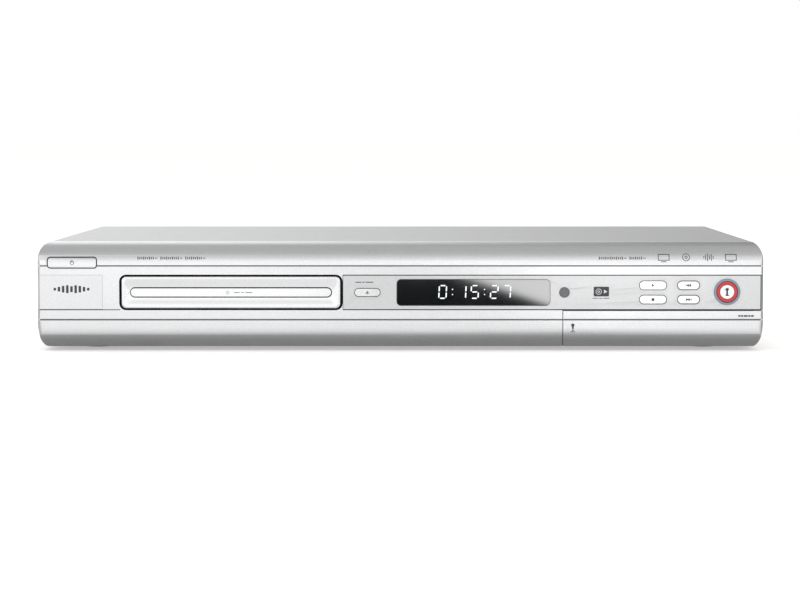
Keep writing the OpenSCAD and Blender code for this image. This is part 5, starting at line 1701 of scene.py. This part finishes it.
@dataclass
class CaseParts:
    """The cover, the feet and the blank rating label on the back."""

    def build(self) -> None:
        """Rounds the case's edges and sticks the label on."""
        rounded_copy("top_cover", "case", 0.25 * MM, 2, 40.0)
        rounded_copy("feet", "case", 0.6 * MM, 3, 40.0)
        rounded_copy("disc_tray", "tray", 0.25 * MM, 2, 40.0)
        rounded_copy("mains_inlet", "case", 0.2 * MM, 2, 40.0)
        rounded_copy("power_transformer", "case", 0.4 * MM, 2, 40.0)
        self._label()

    def _label(self) -> None:
        """Sticks a pale label with plain rules on it between the fan and the sockets."""
        panel = box_of("rear_panel")[1].y
        fan = box_of("fan_frame")
        first = min(place.x for place in mount_places("rear_phono"))
        middle = Vector(((fan[1].x + first) / 2, panel, (fan[0].z + fan[1].z) / 2))
        base, marks = bmesh.new(), bmesh.new()
        wide, high = 44 * MM, 17 * MM
        points = [middle + Vector((x, HAIR, z)) for x, z in outline(wide, high, 1.0 * MM, 4)]
        flat_shape(base, points, Vector((0, 0.00008, 0)))
        piece("rating_label", base, "case", Ink((0.62, 0.63, 0.62), 0.6))
        for row in range(5):
            length = (34, 26, 38, 20, 30)[row] * MM
            at = middle + Vector((0, 0.00008, high / 2 - (2.6 + 2.9 * row) * MM))
            rule = [at + Vector((x, HAIR, z)) for x, z in outline(length, 0.6 * MM, 0.1 * MM, 2)]
            flat_shape(marks, rule, Vector((0, 0.00004, 0)))
        piece("rating_rules", marks, "case", DARK_INK)


@dataclass
class BoardParts:
    """Chips, small parts and can capacitors soldered on the circuit boards."""

    seed: int = 11
    margin: float = 1.2 * MM
    chips: bmesh.types.BMesh = field(default_factory=bmesh.new)
    legs: bmesh.types.BMesh = field(default_factory=bmesh.new)
    cans: bmesh.types.BMesh = field(default_factory=bmesh.new)
    tops: bmesh.types.BMesh = field(default_factory=bmesh.new)
    small: bmesh.types.BMesh = field(default_factory=bmesh.new)
    taken: list[BVHTree] = field(default_factory=list)

    SIZES = (("main_board", ((20, 20, 1.6), (14, 14, 1.4), (18, 8, 1.5), (18, 8, 1.5), (10, 6, 1.4)), 16, 40),
             ("av_board", ((12, 12, 1.4), (10, 6, 1.4), (10, 6, 1.4), (8, 5, 1.4)), 12, 34),
             ("power_board", ((12, 6, 3.0), (8, 6, 4.0)), 6, 16))

    def build(self) -> None:
        """Fills each board where there is room, then makes one piece for each finish."""
        chance = random.Random(self.seed)
        for board, chips, cans, small in self.SIZES:
            self.taken = self._others(board)
            low, high = box_of(board)
            for size in chips:
                self._place(chance, low, high, tuple(v * MM for v in size), self._chip)
            for _count in range(cans):
                wide = chance.choice((5.0, 6.3, 8.0)) * MM
                self._place(chance, low, high, (wide, wide, wide * 1.5), self._can)
            for _count in range(small):
                self._place(chance, low, high, (2.0 * MM, 1.25 * MM, 0.7 * MM), self._resistor)
        for name, mesh, finish in (
            ("chip_bodies", self.chips, MouldedPlastic((0.02, 0.02, 0.021), roughness=0.4, grain=0.4)),
            ("chip_legs", self.legs, CHROME),
            ("can_sleeves", self.cans, MouldedPlastic((0.03, 0.035, 0.05), roughness=0.3)),
            ("can_tops", self.tops, CHROME),
            ("small_parts", self.small, MouldedPlastic((0.30, 0.22, 0.13), roughness=0.4)),
        ):
            piece(name, mesh, "case", finish)

    def _others(self, board: str) -> list[BVHTree]:
        """Returns the search trees of all the frame's pieces but the board itself.

        Args:
            board: the board's node.

        Returns:
            One search tree for each other node.
        """
        trees = []
        for name, node in FRAME["nodes"].items():
            if name != board:
                mesh = bmesh.new()
                mesh.from_mesh(node.data)
                trees.append(BVHTree.FromBMesh(mesh))
                mesh.free()
        return trees

    def _place(self, chance: random.Random, low: Vector, high: Vector, size: Point,
               make: Callable[[Vector, Point], None]) -> None:
        """Tries places on a board until a part of that size fits.

        Args:
            chance: the seeded source of places.
            low: the board's low corner.
            high: the board's high corner.
            size: the part's size.
            make: what builds the part at a place.
        """
        edge = 4 * MM
        for _attempt in range(30):
            x = chance.uniform(low.x + edge + size[0] / 2, high.x - edge - size[0] / 2)
            y = chance.uniform(low.y + edge + size[1] / 2, high.y - edge - size[1] / 2)
            room = bmesh.new()
            block(room, (x - size[0] / 2 - self.margin, y - size[1] / 2 - self.margin, high.z + 0.00005),
                  (x + size[0] / 2 + self.margin, y + size[1] / 2 + self.margin, high.z + size[2] + 0.001))
            tree = BVHTree.FromBMesh(room)
            room.free()
            if not any(tree.overlap(other) for other in self.taken):
                self.taken.append(tree)
                make(Vector((x, y, high.z)), size)
                return

    def _chip(self, at: Vector, size: Point) -> None:
        """Builds a chip with its rows of legs.

        Args:
            at: the middle of its foot.
            size: its width, depth and height.
        """
        block(self.chips, (at.x - size[0] / 2, at.y - size[1] / 2, at.z + 0.0002),
              (at.x + size[0] / 2, at.y + size[1] / 2, at.z + size[2]), 0.00015)
        count = int(size[0] / (1.27 * MM))
        for k in range(count):
            x = at.x + (k - (count - 1) / 2) * 1.27 * MM
            for side in (-1, 1):
                y = at.y + side * (size[1] / 2 + 0.35 * MM)
                block(self.legs, (x - 0.2 * MM, y - 0.35 * MM, at.z),
                      (x + 0.2 * MM, y + 0.35 * MM, at.z + 0.3 * MM))

    def _can(self, at: Vector, size: Point) -> None:
        """Builds a can capacitor with a bare top.

        Args:
            at: the middle of its foot.
            size: its width, depth and height.
        """
        radius, height = size[0] / 2, size[2]
        up = Vector((0, 0, 1))
        edge = 0.4 * MM
        can = ((0, 0), (radius * 0.94, 0), (radius, edge), (radius, height - edge), (radius * 0.9, height),
               (0, height))
        turned(self.cans, can, at, up, 20)
        bare = radius * 0.82
        top = ((0, 0), (bare, 0), (bare, 0.06 * MM), (0, 0.06 * MM))
        turned(self.tops, top, at + Vector((0, 0, height)), up, 20)

    def _resistor(self, at: Vector, size: Point) -> None:
        """Builds a small surface part."""
        block(self.small, (at.x - size[0] / 2, at.y - size[1] / 2, at.z),
              (at.x + size[0] / 2, at.y + size[1] / 2, at.z + size[2]), 0.0001)


# ------------------------------------------------------------------ studio


@dataclass
class Studio:
    """The floor, the soft light and the camera.

    Each range of the floor's painted shade and painted reflection, and of the sky's reflected light, holds
    where it starts and stops and the two amounts there.
    """

    camera_back: float = 1.551
    camera_height: float = 0.130
    camera_side: float = 0.012
    camera_tilt: float = 3.668
    lens: float = 116.85
    picture_shift: float = -0.0256
    floor_size: float = 60.0
    floor_tone: Colour = (0.62, 0.612, 0.605)
    floor_glow: Colour = (1.0, 0.985, 0.97)
    floor_strength: float = 0.40
    # painted shade of the floor as glossy rays see it, close to the object and further off
    floor_painted_shade_near: Range = (0.0, 0.045, 0.14, 0.85)
    floor_painted_shade_far: Range = (0.10, 0.6, 0.0, 0.35)
    # painted reflection: a bright patch on the floor, seen only by glossy rays, for the display window to
    # mirror
    painted_reflection_strength: float = 3.3
    window_slant: float = -0.149
    window_edge: Range = (0.184, 0.203, 0.0, 1.0)
    window_right: Range = (0.13, 0.26, 1.0, 0.0)
    window_left: Range = (-0.06, -0.02, 0.0, 1.0)
    window_front: Range = (0.28, 0.32, 0.0, 1.0)
    window_back: Range = (0.84, 0.92, 1.0, 0.0)
    sky_rise: Range = (0.1, 1.0, 0.95, 0.12)
    sky_side: Range = (-0.9, 0.9, 1.08, 0.86)
    sky_least: float = 0.24
    sky_across: Range = (-0.25, 0.25, 1.25, 0.3)
    sky_behind: Range = (0.1, 0.6, 0.0, 1.0)

    def build(self) -> None:
        """Builds the whole studio."""
        self._floor()
        self._sky()
        self._lamps()
        self._camera()

    def _floor(self) -> None:
        """Lays the plain pale floor; polished pieces see it with painted shade, darker close to the object,
        and with a painted bright patch that the display window mirrors.
        """
        mesh = bmesh.new()
        bmesh.ops.create_grid(mesh, x_segments=1, y_segments=1, size=self.floor_size / 2)
        data = bpy.data.meshes.new("floor")
        mesh.to_mesh(data)
        mesh.free()
        floor = bpy.data.objects.new("floor", data)
        bpy.context.scene.collection.objects.link(floor)
        bench, shader, place, made = start_material("pale_floor")
        shader.inputs["Base Color"].default_value = rgba(self.floor_tone)
        shader.inputs["Emission Color"].default_value = rgba(self.floor_glow)
        shader.inputs["Emission Strength"].default_value = self.floor_strength
        shader.inputs["Roughness"].default_value = 0.9
        shader.inputs["Specular IOR Level"].default_value = 0.05
        split = bench.add("ShaderNodeSeparateXYZ")
        bench.put(split.inputs[0], place)
        # painted shade: glossy rays see the floor darker close to the object's front and brighter further off
        front = box_of("front_bezel")[0].y
        ahead = bench.math("SUBTRACT", front, split.outputs["Y"])
        near = bench.span(ahead, *self.floor_painted_shade_near)
        far = bench.span(ahead, *self.floor_painted_shade_far)
        glow = bench.math("ADD", near, far)
        # painted reflection: glossy rays see a bright patch with a slanted soft edge, painted on the floor
        # before the object, which the display window mirrors as a soft lamp's edge
        lean = bench.math("MULTIPLY", split.outputs["Y"], self.window_slant)
        slant = bench.math("ADD", split.outputs["X"], lean)
        lamp = bench.span(slant, *self.window_edge)
        side = bench.span(split.outputs["X"], *self.window_right)
        edge = bench.span(split.outputs["X"], *self.window_left)
        band = bench.math(
            "MULTIPLY", bench.span(ahead, *self.window_front), bench.span(ahead, *self.window_back)
        )
        patch = bench.math("MULTIPLY", bench.math("MULTIPLY", side, edge), band)
        inside = bench.math("MULTIPLY", lamp, self.painted_reflection_strength)
        glow = bench.math("ADD", bench.math("MULTIPLY", glow, bench.math("SUBTRACT", 1.0, patch)),
                          bench.math("MULTIPLY", patch, inside))
        # glossy rays see only this painted emission of shade and reflection, not the lit floor
        shine = bench.add("ShaderNodeEmission")
        bench.put(shine.inputs["Strength"], glow)
        mix = bench.add("ShaderNodeMixShader")
        bench.put(mix.inputs[0], bench.add("ShaderNodeLightPath").outputs["Is Glossy Ray"])
        bench.put(mix.inputs[1], shader.outputs["BSDF"])
        bench.put(mix.inputs[2], shine.outputs[0])
        out = next(node for node in made.node_tree.nodes if node.type == "OUTPUT_MATERIAL")
        bench.put(out.inputs["Surface"], mix.outputs[0])
        data.materials.append(made)

    def _sky(self) -> None:
        """Sets the surrounding light: even on the floor, and graded from horizon to zenith in reflections."""
        world = bpy.data.worlds.new("studio")
        world.use_nodes = True
        bench = Bench(world.node_tree)
        world.node_tree.nodes.clear()
        split = bench.add("ShaderNodeSeparateXYZ")
        bench.put(split.inputs[0], bench.add("ShaderNodeTexCoord").outputs["Generated"])
        low_light = bench.span(split.outputs["Z"], *self.sky_rise)
        side = bench.span(split.outputs["X"], *self.sky_side)
        graded = bench.math("ADD", bench.math("MULTIPLY", low_light, side), self.sky_least)
        across = bench.span(split.outputs["X"], *self.sky_across)
        behind = bench.span(split.outputs["Y"], *self.sky_behind)
        dimmed = bench.math("ADD", bench.math("MULTIPLY", behind, bench.math("SUBTRACT", across, 1.0)), 1.0)
        graded = bench.math("MULTIPLY", graded, dimmed)
        path = bench.add("ShaderNodeLightPath")
        plain = bench.math("ADD", path.outputs["Is Diffuse Ray"], path.outputs["Is Camera Ray"])
        glossy = bench.math("MULTIPLY", path.outputs["Is Glossy Ray"], graded)
        total = bench.math("ADD", plain, glossy)
        glow = bench.add("ShaderNodeBackground")
        glow.inputs["Color"].default_value = (1.0, 1.0, 1.0, 1.0)
        bench.put(glow.inputs["Strength"], total)
        out = bench.add("ShaderNodeOutputWorld")
        bench.put(out.inputs["Surface"], glow.outputs[0])
        bpy.context.scene.world = world

    def _lamp(
        self, name: str, place: Point, aim: Point, size: tuple[float, float], power: float
    ) -> bpy.types.Object:
        """Hangs one soft lamp.

        Args:
            name: the lamp's name.
            place: where it hangs.
            aim: the point that it faces.
            size: its width and height.
            power: its power in watts.

        Returns:
            The lamp.
        """
        light = bpy.data.lights.new(name, "AREA")
        light.shape = "RECTANGLE"
        light.size, light.size_y = size
        light.energy = power
        lamp = bpy.data.objects.new(name, light)
        bpy.context.scene.collection.objects.link(lamp)
        direction = Vector(aim) - Vector(place)
        lamp.rotation_euler = direction.to_track_quat("-Z", "Y").to_euler()
        lamp.location = place
        return lamp

    def _lamps(self) -> None:
        """Hangs a wide soft lamp overhead and behind, which lays the shadow before the object."""
        lamp = self._lamp("overhead", (-0.3, 0.5, 2.4), (0.0, 0.0, 0.0), (2.6, 2.0), 34.0)
        lamp.visible_glossy = False

    def _camera(self) -> None:
        """Sets the camera in front of the object, a little above it."""
        low, _high = box_of("front_bezel")
        data = bpy.data.cameras.new("camera")
        data.lens = self.lens
        data.sensor_width = 36.0
        data.shift_x = self.picture_shift
        data.clip_start, data.clip_end = 0.01, 200.0
        camera = bpy.data.objects.new("camera", data)
        bpy.context.scene.collection.objects.link(camera)
        camera.location = (self.camera_side, low.y - self.camera_back, self.camera_height)
        camera.rotation_euler = (math.radians(90 - self.camera_tilt), 0.0, 0.0)
        bpy.context.scene.camera = camera


def dress_frame() -> None:
    """Gives every node of the frame its finish."""
    for name, node in FRAME["nodes"].items():
        node.data.materials.clear()
        node.data.materials.append(material_of(NODE_FINISHES[name], name))


def main() -> None:
    """Builds the sub-assemblies in order."""
    logging.basicConfig(level=logging.INFO, format="%(name)s: %(message)s")
    FRAME.update(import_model())
    dress_frame()
    for part in (FrontMoulding(), PaintedGapShade(), TrayDoor(), Display(), Keys(), RecordKey(), Sockets(),
                 CaseParts(), BoardParts(), Studio()):
        part.build()
    bpy.context.scene.view_settings.view_transform = "Standard"


if __name__ == "__main__":
    main()
